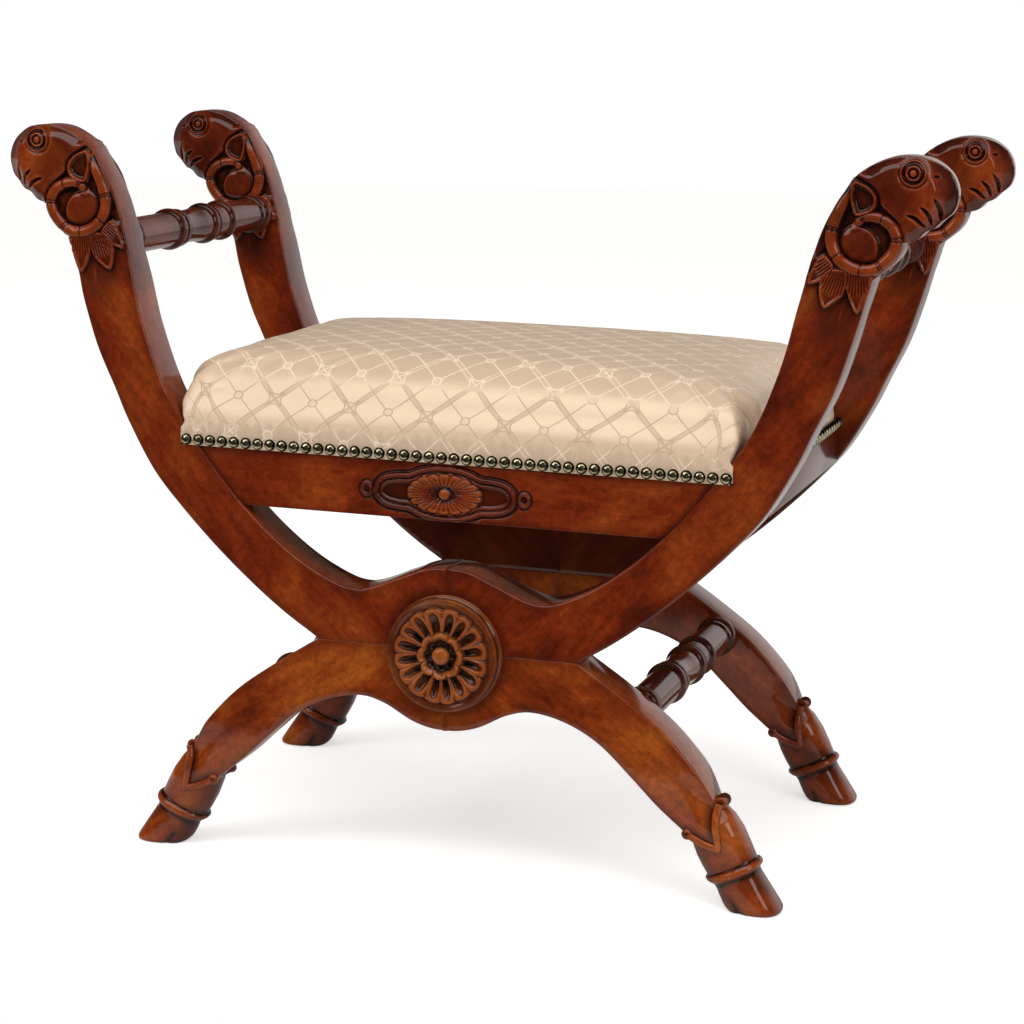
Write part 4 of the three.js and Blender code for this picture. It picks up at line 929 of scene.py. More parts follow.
def rosette_height(r, turn):
    """Height of the rosette's face: rim, flat, petals with their spoons, flower and button."""
    turn = turn + 0.020 * np.sin(5 * turn + 1) + 0.016 * np.sin(3 * turn + 4)
    r = r * (1 + 0.008 * np.sin(7 * turn + 2) * (r < 46))
    disc = 12.0 + 1.6 * rise(r, 46.5, 51.5) - 1.2 * rise(r, 51.9, 52.6) * (1 - rise(r, 52.9, 53.6))
    edge, across = petal_edge(turn, 16, 43.0, 46.6)
    pitch = np.pi * r / 16
    petal = 16.4 - 2.6 * rise(edge - r, 2, 22)
    spoon = 1 - (across / 0.72) ** 2 - (np.maximum(r - 31, 0) / 11.6) ** 2
    hollow = 5.0 * np.sqrt(np.clip(spoon, 0, 1))
    between = 1.6 * np.exp(-(((1 - np.abs(across)) * pitch) / 0.8) ** 2) * rise(r, 24, 30)
    petal = petal - hollow - between
    height = np.where(r < edge, np.maximum(disc - 2, 12.0 + (petal - 12.0) * rise(edge - r, 0, 1.6)), disc)
    edge, across = petal_edge(turn + np.pi / 8, 8, 19.2, 23.0)
    rim = 18.6 - 0.8 * np.abs(across) ** 2
    cup = rim - 7.0 * rise(edge - 2.2 - r, 0, 8.5)
    crease = 1.8 * np.exp(-((1 - np.abs(across)) * r / 2.6) ** 2) * rise(r, 9, 14)
    flower = cup - crease
    height = np.where(r < edge, height + (flower - height) * rise(edge - r, 0, 1.4), height)
    button = 14.2 + 4.6 * np.sqrt(np.clip(1 - (r / 8.2) ** 2, 0, 1))
    return np.where(r < 8.2, np.maximum(height, button), height)


radii = np.concatenate([np.linspace(0.05, 8, 14), np.linspace(8.6, 53.2, 70), [53.7, ROSETTE_RADIUS]])
turns = 2 * np.pi * np.arange(ROSETTE_SIDES) / ROSETTE_SIDES
grid_r, grid_t = np.meshgrid(radii, turns, indexing="ij")
height = rosette_height(grid_r, grid_t)
height[-1] = 12.6
soft = (np.roll(height, 4, axis=1) + np.roll(height, -4, axis=1) + height) / 3
soft = (np.vstack([soft[3:], soft[-3:]]) + np.vstack([soft[:3], soft[:-3]]) + soft) / 3
# Darker in the hollows, the lower places and round the flower, lighter on the ridges, the button and the rim:
# glaze with painted shade, and wear with painted highlight.
glaze_and_shading = np.clip(1.1 * (soft - height), -0.9, 0.42) + 0.32 * np.clip((14.8 - height) / 3.4, 0, 1)
glaze_and_shading += 0.6 * rise(grid_r, 8.0, 8.6) * (1 - rise(grid_r, 14, 19)) - 0.4 * (grid_r < 7)
glaze_and_shading += 0.4 * (1 - rise(grid_r, 24, 34)) * rise(grid_r, 22.5, 23.5)
glaze_and_shading = np.where(grid_r > 47, 0.30 - 0.65 * rise(grid_r, 51.5, 53.5), glaze_and_shading)
glaze_and_shading = np.clip(glaze_and_shading, -1, 1)
rows = [np.column_stack([r * np.cos(turns), -h, r * np.sin(turns)]) for r, h in zip(radii, height)]
for r, h in ((ROSETTE_RADIUS, 6.6), (54.3, 6.1), (55.4, 5.7), (ROSETTE_FOOT, 4.9), (ROSETTE_FOOT, 0.3)):
    rows.append(np.column_stack([r * np.cos(turns), np.full(ROSETTE_SIDES, -h), r * np.sin(turns)]))
shade = np.vstack([glaze_and_shading, np.full((5, ROSETTE_SIDES), 0.1)])
# The step from the disc down to its foot is dark: painted shade.
shade[-5:-3] = 0.9
points = np.vstack([*rows, [(0, -height[0, 0], 0)]])
middle, last = len(points) - 1, (len(rows) - 1) * ROSETTE_SIDES
faces = [quad[::-1] for quad in bands(len(rows), ROSETTE_SIDES)]
faces += [(i, (i + 1) % ROSETTE_SIDES, middle) for i in range(ROSETTE_SIDES)]
faces.append(tuple(last + i for i in range(ROSETTE_SIDES)))
shade = np.append(shade.ravel(), 0.2)
# The rosettes have a little more of the dark glaze and painted shade, wiped off their rims to a honey brown
# with a painted highlight.
carved_mahogany = stained_mahogany("mahogany_carved_and_glazed", "#52200A", "#743411", "#8F4E1C", 0.11)
for frame_name, sign_y in FRAMES:
    placed, turned = flipped(points, faces, 1, sign_y)
    placed = placed + (0.0, -sign_y * (FRAME_HALF_SPACING + BOARD_HALF), HUB_HEIGHT)
    node = f"{frame_name}_rosette"
    wooden_piece(f"{node}_carved", placed, turned, shade, carved_mahogany, node,
                 (1, 0, 0.1), 2.1 + 0.4 * sign_y)

# Aprons: the long front and back boards of the seat box, cut to the curve of the arms and
# dowelled to them. Each has a moulded panel with an oval flower carved on its outer face.
APRON_LOW, APRON_TOP = 348.0, 411.8
APRON_HALF = 12.0
APRON_SETBACK = 1.0
PANEL_CENTRE = (-3.4, 373.4)
PANEL_OUTLINE = [(0, 26.5), (13.6, 25.6), (26.4, 22.2), (36, 18.3), (47.6, 17.4), (59.6, 14.8),
                 (68, 8.5), (71, 0)]
PANEL_LOOP = 77.6
FLOWER_HALF_WIDTH, FLOWER_HALF_HEIGHT = 38, 19.5

panel_quarter = smooth_line(PANEL_OUTLINE, 1.0)
panel_rim = np.vstack([panel_quarter, (panel_quarter * (1, -1))[::-1][1:], (-panel_quarter)[1:],
                       (panel_quarter * (-1, 1))[::-1][1:-1]])


def panel_relief(p):
    """The carved panel of the apron: two mouldings, a sunk field, the oval flower and end loops."""
    q = p - PANEL_CENTRE
    depth = depth_in(q, panel_rim)
    height = -1.6 * np.exp(-0.5 * ((depth + 1.1) / 1.0) ** 2)
    band = 3.0 * np.sqrt(np.clip(1 - ((depth - 2.5) / 2.5) ** 2, 0, 1)) - 0.4
    inner = 2.4 * np.sqrt(np.clip(1 - ((depth - 7.7) / 1.8) ** 2, 0, 1)) - 0.6
    field = -1.9 * rise(depth, 4.6, 5.6)
    height = np.where(depth > 0, np.maximum(np.maximum(band, inner - 0.3), field), height)
    for side in (-1, 1):
        ring = np.abs(np.hypot((q[:, 0] - side * PANEL_LOOP) * 1.15, q[:, 1] * 0.92) - 5.2)
        loop = 2.6 * np.sqrt(np.clip(1 - (ring / 2.0) ** 2, 0, 1)) - 0.2
        groove = -1.8 * (1 - rise(ring, 2.0, 4.2))
        near = (depth < 0) & (ring < 4.2)
        height = np.where(near, np.where(ring < 2.0, loop, np.minimum(height, groove)), height)
    turn = np.arctan2(q[:, 1] / FLOWER_HALF_HEIGHT, q[:, 0] / FLOWER_HALF_WIDTH)
    r = np.hypot(q[:, 0] / FLOWER_HALF_WIDTH, q[:, 1] / FLOWER_HALF_HEIGHT)
    across = 2 * ((turn * 18 / (2 * np.pi)) % 1) - 1
    edge = 0.9 + 0.1 * np.sqrt(np.clip(1 - across ** 2, 0, 1))
    petal = 3.2 - 3.0 * (1 - rise(r, 0.14, 0.60))
    gouged = petal - 1.2 * np.clip(1 - (across / 0.7) ** 2, 0, 1) * rise(edge - r, 0.06, 0.25)
    gouged = gouged - 1.9 * np.exp(-((1 - np.abs(across)) / 0.22) ** 2) * rise(r, 0.2, 0.5)
    flower = -1.9 + (gouged + 1.9) * rise((edge - r) * 20, 0, 1.2)
    height = np.where(r < edge, flower, height)
    button = np.hypot(*q.T)
    dome = 0.6 + 3.4 * np.sqrt(np.clip(1 - (button / 5.4) ** 2, 0, 1))
    height = np.where(button < 5.4, np.maximum(height, dome), height)
    rebate = -2.3 * rise(p[:, 1], 402.2, 402.8)
    return np.where(p[:, 1] > 401.0, rebate, height)


APRON_STEP = 0.8
APRON_MAP_X, APRON_MAP_Z = 96, 340
apron_x = np.arange(-APRON_MAP_X, APRON_MAP_X + 0.01, APRON_STEP)
apron_z = np.arange(APRON_MAP_Z, 404.01, APRON_STEP)
apron_map = panel_relief(np.stack(np.meshgrid(apron_x, apron_z, indexing="ij"), axis=-1).reshape(-1, 2))
apron_map = apron_map.reshape(len(apron_x), len(apron_z))
apron_dark = glaze_shade_and_wear(apron_map, APRON_STEP, 1.6, 3.6)


def apron_glaze_and_shading(p):
    """Dark glaze and painted shade on the apron: at its ends and edges, in the field and in the carving's
    hollows.
    """
    i = np.clip(np.round((p[:, 0] + APRON_MAP_X) / APRON_STEP).astype(int), 0, len(apron_x) - 1)
    j = np.clip(np.round((p[:, 1] - APRON_MAP_Z) / APRON_STEP).astype(int), 0, len(apron_z) - 1)
    near = (np.abs(p[:, 0]) < 95) & (p[:, 1] < 400.5)
    ends = 0.6 * rise(np.abs(p[:, 0]) - np.interp(p[:, 1], [348, 412], [207, 260]), -7, 0)
    low = 0.3 * (1 - rise(p[:, 1], 348, 355))
    high = 0.35 * rise(p[:, 1], 392, 402)
    q = p - PANEL_CENTRE
    depth = depth_in(q, panel_rim)
    r = np.hypot(q[:, 0] / FLOWER_HALF_WIDTH, q[:, 1] / FLOWER_HALF_HEIGHT)
    flower = r < 1
    loops = np.hypot(np.abs(q[:, 0]) - PANEL_LOOP, q[:, 1]) < 9
    field = 0.5 * ((depth > -1) & ~flower) + 0.4 * (loops & (depth < 0))
    carved = np.where(near, apron_dark[i, j], 0)
    button = np.hypot(*q.T) < 5.0
    inner = 0.9 * (1 - rise(r, 0.25, 0.8)) * ~button
    petals = np.clip(1.5 * carved - 0.45 + inner, -0.8, 1)
    carved = np.where(flower, petals, np.maximum(carved, -0.2))
    return np.clip(carved + (ends + low + high + field) * (1 - np.abs(carved)), -1, 1)


inner = smooth_line(ARM_INNER_EDGE, 1.0)
end = inner[(inner[:, 1] > APRON_LOW) & (inner[:, 1] < APRON_TOP)]
end = np.vstack([(np.interp(APRON_LOW, inner[20:, 1], inner[20:, 0]), APRON_LOW), end[::3],
                 (np.interp(APRON_TOP, inner[20:, 1], inner[20:, 0]), APRON_TOP)]) - (0.4, 0)
top = np.linspace(end[-1] * (-1, 1), end[-1], 60)
bottom = np.linspace(end[0], end[0] * (-1, 1), 60)
apron_outline = np.vstack([top[:-1], end[::-1][:-1], bottom[:-1], (end * (-1, 1))[:-1]])
points, faces, glaze_and_shading = carved_board(
    apron_outline, np.full(len(apron_outline), 0.8), panel_relief, apron_glaze_and_shading, coarse=5.5, fine=0.9,
    fine_zone=((-94, 346.5), (94, 403.5)), half=APRON_HALF, back_relief=lambda p: np.zeros(len(p)),
)
# Inside the seat box the back faces of the boards are darkened all over: painted shade.
glaze_and_shading[len(glaze_and_shading) // 2:] = np.maximum(glaze_and_shading[len(glaze_and_shading) // 2:], 0.5)
for frame_name, sign_y in FRAMES:
    placed, turned = flipped(points, faces, 1, sign_y)
    placed = placed + (0, -sign_y * (FRAME_HALF_SPACING + BOARD_HALF - APRON_SETBACK - APRON_HALF), 0)
    node = f"{frame_name}_apron"
    wooden_piece(f"{node}_carved", placed, turned, glaze_and_shading, mahogany, node,
                 (1, 0, 0.02), 3.3 + 0.4 * sign_y)

# Seat rails: the short boards of the seat box at its two ends, tenoned into the frames. Their
# upper edge is cut back for the cover, which laps over it and is nailed.
RAIL_OUTER = 294.6
RAIL_INNER = 272.8
RAIL_LOW, RAIL_TOP = 366.0, 411.8
RAIL_HALF_LENGTH = 161.2


def eased_block(low, high, radius, segments=3):
    """A plain board with eased edges, as points and faces in millimetres."""
    made = bmesh.new()
    bmesh.ops.create_cube(made, size=1)
    low, high = np.array(low, float), np.array(high, float)
    for vertex in made.verts:
        vertex.co = Vector((low + high) / 2 + (high - low) * np.array(vertex.co))
    bmesh.ops.bevel(made, geom=list(made.edges), offset=radius, segments=segments, profile=0.5,
                    affect="EDGES")
    bmesh.ops.recalc_face_normals(made, faces=made.faces)
    made.verts.index_update()
    points = np.array([vertex.co[:] for vertex in made.verts])
    faces = [tuple(vertex.index for vertex in face.verts) for face in made.faces]
    made.free()
    return points, faces


lower = eased_block((RAIL_INNER, -RAIL_HALF_LENGTH, RAIL_LOW), (RAIL_OUTER, RAIL_HALF_LENGTH, 402.4), 1.2)
upper = eased_block((RAIL_INNER, -RAIL_HALF_LENGTH, 400.0),
                    (RAIL_OUTER - 2.3, RAIL_HALF_LENGTH, RAIL_TOP), 0.6)
points, faces, glaze_and_shading = joined((*lower, 0.08), (*upper, 0.2))
# The rails are darker towards their ends, in the corners against the frames: painted shade.
glaze_and_shading = np.maximum(glaze_and_shading, 0.35 * rise(np.abs(points[:, 1]), 150, 161))
for side_name, sign_x in SIDES:
    placed, turned = flipped(points, faces, sign_x, 1)
    node = f"{side_name}_seat_rail"
    wooden_piece(f"{node}_board", placed, turned, glaze_and_shading, mahogany, node,
                 (0, 1, 0.02), 4.6 + 0.3 * sign_x)

# Hand rails and stretchers: four bars of one turned pattern, with beads, fillets and a barrel in
# the middle. They are turned in mahogany and their round tenons are glued into the frames.
RAIL_RADIUS = 17.5
BEAD_RADIUS = 21.0
HAND_RAIL_PLACE = (354.2, 592.3)
STRETCHER_PLACE = (176.0, 172.4)
BEADS = [(0.026, 0.020), (0.335, 0.022), (0.574, 0.018), (0.702, 0.018), (0.976, 0.020)]
FILLETS = [(0.361, 0.385, 19.4), (0.596, 0.616, 19.4), (0.928, 0.950, 19.2), (0.052, 0.060, 18.6)]
ROD_PLACES = [(0.455, 0.06, -0.9), (0.650, 0.03, 0.4)]


def turned_bar(place, half_length):
    """A turned bar along Y: points, faces, and glaze with painted shade in its grooves."""
    length = 2 * half_length
    at = np.unique(np.concatenate([
        np.linspace(0, 1, 120), *[np.linspace(m - h, m + h, 21) for m, h in BEADS],
        *[np.array((a, a + 0.0015, b - 0.0015, b)) for a, b, _ in FILLETS],
        *[np.array((a - 0.0008, b + 0.0008)) for a, b, _ in FILLETS],
    ]))
    r = np.full(len(at), RAIL_RADIUS)
    for a, b, high in FILLETS:
        r = np.where((at >= a) & (at <= b), high - 0.5 * ((at - a < 0.001) | (b - at < 0.001)), r)
    for middle, half in BEADS:
        bulge = np.clip(1 - ((at - middle) / half) ** 2, 0, 1) ** 0.62
        swell = (BEAD_RADIUS - RAIL_RADIUS + 0.6) * bulge * (np.abs(at - middle) < half)
        r = np.maximum(r, RAIL_RADIUS - 0.6 + swell)
    for middle, half, swell in ROD_PLACES:
        r = r + swell * np.clip(1 - ((at - middle) / half) ** 2, 0, 1)
    grooves = [m + s * h for m, h in BEADS for s in (-1, 1)] + [f[k] for f in FILLETS for k in (0, 1)]
    # Darker in the grooves beside the beads and fillets: painted shade.
    dark = np.max([np.exp(-0.5 * ((at - g) / 0.006) ** 2) for g in grooves], axis=0)
    sides = 72
    points = rings_along_y(place, [(radius, -half_length + length * a) for a, radius in zip(at, r)], sides)
    faces = bands(len(at), sides, turned_over=True)
    faces.append(tuple(range(sides)))
    faces.append(tuple((len(at) - 1) * sides + i for i in range(sides - 1, -1, -1)))
    return points, faces, np.repeat(0.08 + 0.75 * dark, sides)


# Lacquer on turned wood is polished on the lathe, so it is the glossiest of the finishes.
turned_mahogany = stained_mahogany("mahogany_turned_and_polished", "#3C1104", "#5A1D07", "#73300F", 0.07)
for kind, place, half_length in (
    ("hand_rail", HAND_RAIL_PLACE, 167.0),
    ("stretcher", STRETCHER_PLACE, 161.1),
):
    points, faces, glaze_and_shading = turned_bar(place, half_length)
    for side_name, sign_x in SIDES:
        placed, turned = flipped(points, faces, sign_x, 1)
        node = f"{side_name}_{kind}"
        wooden_piece(f"{node}_turned", placed, turned, glaze_and_shading, turned_mahogany, node,
                     (0, 1, 0), 5.9 + 0.3 * sign_x + place[1] * MM)

# Seat cushion: foam on a board, covered in a champagne satin damask that is drawn down tight over
# the front and the ends and nailed along the rails. It is fitted in between the four arms.
SATIN_LOW = 402.6
ROLL_START = 404.0
ROLL_RISE = 74.0
ROLL_REACH = 48.0
END_ROLL_REACH = 32.0
ROLL_POWER = 2.4
END_ROLL_POWER = 3.2
CROWN = 15.0
FRONT_REACH_X = 270.5
SEAT_REACH_X = 292.5
SEAT_REACH_Y = 208.2
ARM_FACE = 161.5
PATTERN_PITCH = 77.0
NAILED_REACH_Y = 208.9
MOST_REACH_Y = 211.0
GATHER_PITCH = 12.3
CLOTH_FRAMES = 20
SWELL = 5.5

inner_edge = smooth_line(ARM_INNER_EDGE, 2.0)


def between_arms(z):
    """Half the width left between the arms at a height."""
    rising = inner_edge[inner_edge[:, 1].argmin():]
    return np.interp(z, rising[:, 1], rising[:, 0]) - 1.2


def rolled(share, power):
    """Height of a rolled edge, 0 at the edge and 1 where the top begins."""
    return (1 - (1 - np.clip(share, 0, 1)) ** power) ** (1 / power)


def padded_block(reach_x, reach_y, edge_y, steps_x, steps_y):
    """A closed block with a crowned top and rolled edges, over a grid of columns."""
    s, t = np.meshgrid(np.linspace(-1, 1, steps_x), np.linspace(-1, 1, steps_y), indexing="ij")
    s, t = np.sin(s * np.pi / 2), np.sin(t * np.pi / 2)
    y = t * reach_y
    wide = reach_x(np.full(s.shape, ROLL_START + ROLL_RISE * 0.7))
    short_of = [1 - rolled((1 - np.abs(s)) * wide / END_ROLL_REACH, END_ROLL_POWER),
                1 - rolled((edge_y - np.abs(y)) / ROLL_REACH, ROLL_POWER)]
    roll = 1 - np.minimum((short_of[0] ** 3 + short_of[1] ** 3) ** (1 / 3), 1)
    crown = CROWN * (1 - np.abs(s) ** 3) * (1 - np.abs(y / SEAT_REACH_Y) ** 3)
    top = ROLL_START + ROLL_RISE * roll + crown
    levels = np.array([0.0, 0.15, 0.35, 0.6, 0.85, 1.0])
    columns = SATIN_LOW + (top[..., None] - SATIN_LOW) * levels
    across = s[..., None] * reach_x(columns)
    points = np.stack([across, np.broadcast_to(y[..., None], columns.shape), columns], axis=-1)
    count = len(levels)
    index = np.arange(steps_x * steps_y * count).reshape(steps_x, steps_y, count)
    faces = []
    for level, order in ((count - 1, 1), (0, -1)):
        grid = index[:, :, level]
        for i in range(steps_x - 1):
            for j in range(steps_y - 1):
                faces.append((grid[i, j], grid[i + 1, j], grid[i + 1, j + 1], grid[i, j + 1])[::order])
    for sheet, order in ((index[:, 0], 1), (index[:, -1], -1), (index[0], -1), (index[-1], 1)):
        for i in range(sheet.shape[0] - 1):
            for k in range(count - 1):
                faces.append((sheet[i, k], sheet[i + 1, k], sheet[i + 1, k + 1], sheet[i, k + 1])[::order])
    return points.reshape(-1, 3), [tuple(int(v) for v in face) for face in faces]


def front_reach(z):
    """Half width of the cushion where it lies between the arms."""
    return np.minimum(between_arms(z), FRONT_REACH_X + 8 * rise(z, 425, 442))


middle = padded_block(lambda z: np.full(np.shape(z), SEAT_REACH_X), ARM_FACE - 2.0, SEAT_REACH_Y, 90, 60)
ends = padded_block(front_reach, SEAT_REACH_Y, SEAT_REACH_Y, 90, 72)
points, faces, _ = joined((*middle, 0), (*ends, 0))
made = bpy.data.meshes.new("satin_cushion")
made.from_pydata((points * MM).tolist(), [], faces)
cushion = new_object("satin_cushion", made)


def settle(piece, name):
    """Applies the only modifier of a piece to its mesh."""
    graph = bpy.context.evaluated_depsgraph_get()
    done = bpy.data.meshes.new_from_object(piece.evaluated_get(graph), depsgraph=graph)
    piece.modifiers.clear()
    old, piece.data = piece.data, done
    bpy.data.meshes.remove(old)
    done.name = name


remesh = cushion.modifiers.new("one_skin", "REMESH")
remesh.mode = "VOXEL"
remesh.voxel_size = 0.005
settle(cushion, "satin_cushion")
relax = cushion.modifiers.new("relax", "SMOOTH")
relax.factor = 0.5
relax.iterations = 6
settle(cushion, "satin_cushion")


def coordinates(made):
    """The points of a mesh in millimetres."""
    held = np.empty(len(made.vertices) * 3)
    made.vertices.foreach_get("co", held)
    return held.reshape(-1, 3) / MM


def put_coordinates(made, points):
    """Moves the points of a mesh to places in millimetres."""
    made.vertices.foreach_set("co", (points * MM).ravel())
    made.update()


start = coordinates(cushion.data)
# The cover is held by the nails and by the seat board under it; the foam pushes it out.
held = cushion.vertex_groups.new(name="nailed")
weight = np.clip((414 - start[:, 2]) / 6, 0, 1)
for i in np.nonzero(weight > 0)[0]:
    held.add([int(i)], float(weight[i]), "REPLACE")
cloth = cushion.modifiers.new("satin", "CLOTH")
cloth.settings.vertex_group_mass = "nailed"
cloth.settings.use_pressure = True
cloth.settings.uniform_pressure_force = 3.5
cloth.settings.quality = 5
cloth.settings.effector_weights.gravity = 0
cloth.collision_settings.use_collision = False
cloth.point_cache.frame_start = 1
cloth.point_cache.frame_end = CLOTH_FRAMES
for step in range(1, CLOTH_FRAMES + 1):
    scene.frame_set(step)
settle(cushion, "satin_cushion")
scene.frame_set(1)
cushion.vertex_groups.clear()
moved = coordinates(cushion.data) - start
size = np.linalg.norm(moved, axis=1)
moved *= (SWELL * np.tanh(size / SWELL) / np.maximum(size, 1e-6))[:, None]
points = start + moved


def fitted(points):
    """Keeps the cover clear of the arms, and laps its nailed edge a little over their faces."""
    x, y, z = points.T
    far_x, far_y = np.abs(x), np.abs(y)
    front = rise(far_y, 170, 200)
    far_y = far_y + np.maximum(NAILED_REACH_Y - far_y, 0) * front * (1 - rise(z, 406, 454))
    far_y = np.minimum(far_y, MOST_REACH_Y)
    lapped = rise(far_y, 206.5, 208.2) * (1 - rise(z, 424, 436))
    room = np.where(far_y > ARM_FACE - 1.2, between_arms(z) + 0.4, RAIL_OUTER + 2.0)
    spread = np.maximum(FRONT_REACH_X - room, 0) * rise(far_x, 0.86 * room, room - 1.0)
    far_x = np.minimum(far_x, room) + spread * lapped
    z = np.maximum(z, SATIN_LOW)
    gathers = 0.7 * rise(z, 411, 415) * (1 - rise(z, 418, 434))
    tucked = 0.5 * (1 - rise(z, 405, 413))
    folds = gathers * (0.4 + np.cos(2 * np.pi * x / GATHER_PITCH)) - tucked
    far_y = np.where(far_y > 207.8, np.maximum(far_y + folds, 208.1), far_y)
    side = (far_x > 284) & (far_y < 158)
    far_x = np.where(side, far_x + gathers * np.cos(2 * np.pi * y / GATHER_PITCH) - tucked, far_x)
    return np.column_stack([np.sign(x) * far_x, np.sign(y) * far_y, z])


put_coordinates(cushion.data, fitted(points))
finer = cushion.modifiers.new("finer", "SUBSURF")
finer.levels = finer.render_levels = 1
settle(cushion, "satin_cushion")
points = fitted(coordinates(cushion.data))
put_coordinates(cushion.data, points)


# Where each point lies on the flat cloth: over the top and down round the roll, in millimetres.
def laid_flat(out, up, reach, roll_reach, power):
    """Length over the top and round the roll, from the middle of the cushion."""
    share = np.linspace(1, 0, 80) ** 2
    in_from_edge, height = roll_reach * share, rolled(share, power)
    length = np.r_[0, np.cumsum(np.hypot(np.diff(in_from_edge), np.diff(height) * ROLL_RISE))]
    turning = np.arctan2(1 - share, height)
    past = np.abs(out) - (reach - roll_reach)
    angle = np.arctan2(np.clip(past, 0, None) / roll_reach, np.maximum((up - ROLL_START) / ROLL_RISE, 0.001))
    round_roll = reach - roll_reach + np.interp(angle, turning, length)
    return np.sign(out) * np.where(past <= 0, np.abs(out), round_roll)


x, y, z = points.T
cloth_v = laid_flat(y, z, SEAT_REACH_Y, ROLL_REACH, ROLL_POWER)
end_reach = np.where(np.abs(y) < ARM_FACE, SEAT_REACH_X + 1.5, FRONT_REACH_X + 1.5)
cloth_u = laid_flat(x, z, end_reach, END_ROLL_REACH, END_ROLL_POWER)
store_vectors(cushion.data, "cloth", np.column_stack([cloth_u, cloth_v, np.zeros(len(x))]) * MM)
cushion.data.shade_smooth()


def satin_damask():
    """Satin damask of rayon and cotton: a glossy satin ground with a matt raised trellis."""
    material, tree = new_material("satin_damask_champagne")
    cloth = add_node(tree, "ShaderNodeAttribute", {"attribute_name": "cloth"}).outputs["Vector"]
    # The trellis repeats every 77 mm. Turned by 48.2 degrees, its lines run along whole numbers.
    turned = add_node(tree, "ShaderNodeMapping", {"vector_type": "POINT"}, {"Vector": cloth},
                      Location=(-0.676, -0.007, 0), Rotation=(0, 0, math.radians(48.2)),
                      Scale=(math.sqrt(2) / (PATTERN_PITCH * MM),) * 2 + (1,))
    parted = add_node(tree, "ShaderNodeSeparateXYZ", None, {0: turned.outputs[0]}).outputs

    def calc(operation, *values, clamp=False):
        return maths(tree, operation, *values, clamp=clamp)

    pitch = PATTERN_PITCH / math.sqrt(2)
    gaps = [calc("MULTIPLY", calc("PINGPONG", parted[axis], 0.5), pitch) for axis in (0, 1)]

    def line(gap, centre, half):
        """1 on a line that lies at a distance across the trellis, and 0 past half its width."""
        off = calc("ABSOLUTE", calc("SUBTRACT", gap, centre))
        return calc("SUBTRACT", 1.0, calc("DIVIDE", off, half), clamp=True)

    def both_ways(centre, half):
        return calc("MAXIMUM", line(gaps[0], centre, half), line(gaps[1], centre, half))

    double = both_ways(2.2, 0.6)
    matt_band = calc("MULTIPLY", both_ways(0.0, 2.6), 2.2, clamp=True)
    single = both_ways(pitch / 2, 0.95)
    star = calc("ADD", *[calc("POWER", calc("DIVIDE", gap, 12.5), 0.62) for gap in gaps])
    outside_star = calc("GREATER_THAN", star, 1.02)
    off_star = calc("ABSOLUTE", calc("SUBTRACT", star, 1.0))
    star_line = calc("SUBTRACT", 1.0, calc("DIVIDE", off_star, 0.10), clamp=True)
    cross = calc("MULTIPLY", both_ways(0.0, 0.9), calc("LESS_THAN", star, 0.95))
    from_ring = [calc("SUBTRACT", pitch / 2, gap) for gap in gaps]
    ring_gap = calc("SQRT", calc("ADD", *[calc("MULTIPLY", gap, gap) for gap in from_ring]))
    ring = line(ring_gap, 4.3, 0.9)
    outside_ring = calc("GREATER_THAN", ring_gap, 4.3)
    in_ring = calc("SUBTRACT", 5.4, ring_gap, clamp=True)
    lines = calc("MULTIPLY", double, outside_star)
    lines = calc("MAXIMUM", lines, calc("MULTIPLY", calc("MULTIPLY", single, 0.75), outside_ring))
    lines = calc("MAXIMUM", lines, calc("MAXIMUM", star_line, ring))
    lines = calc("MAXIMUM", lines, calc("MULTIPLY", cross, 0.8))
    lines = calc("MULTIPLY", lines, 1.6, clamp=True)
    # Satin threads lie about 0.3 mm apart. They are drawn at 0.8 mm so that they show.
    weave = noise(tree, cloth, (1300, 260, 1), Detail=2.0)
    soft = noise(tree, cloth, Scale=16.0, Detail=2.0)
    ground = mixed(tree, weave, linear("#CBAC8E"), linear("#DFC3A6"))
    shaded = mixed(tree, calc("MULTIPLY", matt_band, 0.5), ground, linear("#BC9B7C"))
    # The figure is painted darker than the ground round the roll, where the satin shines, and paler above and
    # below it: a painted sheen. Its tone follows which way the cloth faces, so it doesn't change with the
    # light.
    facing = add_node(tree, "ShaderNodeNewGeometry").outputs["Normal"]
    upward = add_node(tree, "ShaderNodeSeparateXYZ", None, {0: facing}).outputs[2]
    turning_up = ranged(tree, upward, 0.08, 0.28, 0.0, 1.0, smooth=True)
    turned_up = ranged(tree, upward, 0.55, 0.78, 1.0, 0.0, smooth=True)
    painted_sheen_on_roll = calc("MULTIPLY", turning_up, turned_up)
    colour = mixed(tree, lines, shaded, mixed(tree, painted_sheen_on_roll, linear("#E6D0B4"), linear("#B79A7D")))
    gloss = calc("ADD", calc("MULTIPLY", soft, 0.14), 0.32)
    matt = calc("MAXIMUM", calc("MAXIMUM", lines, matt_band), in_ring)
    height = calc("ADD", lines, calc("MULTIPLY", weave, 0.35))
    surface(tree, {"Base Color": colour, "Roughness": mixed(tree, matt, gloss, 0.62, "FLOAT"),
                   "Metallic": mixed(tree, matt, 0.16, 0.0, "FLOAT"),
                   "Normal": bumped(tree, height, 0.35, 0.0003)},
            Specular_IOR_Level=0.75, Sheen_Weight=0.1)
    return material


satin = satin_damask()
cushion.data.materials.clear()
cushion.data.materials.append(satin)
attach(cushion, "root")
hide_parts("seat_cover", "seat_foam")

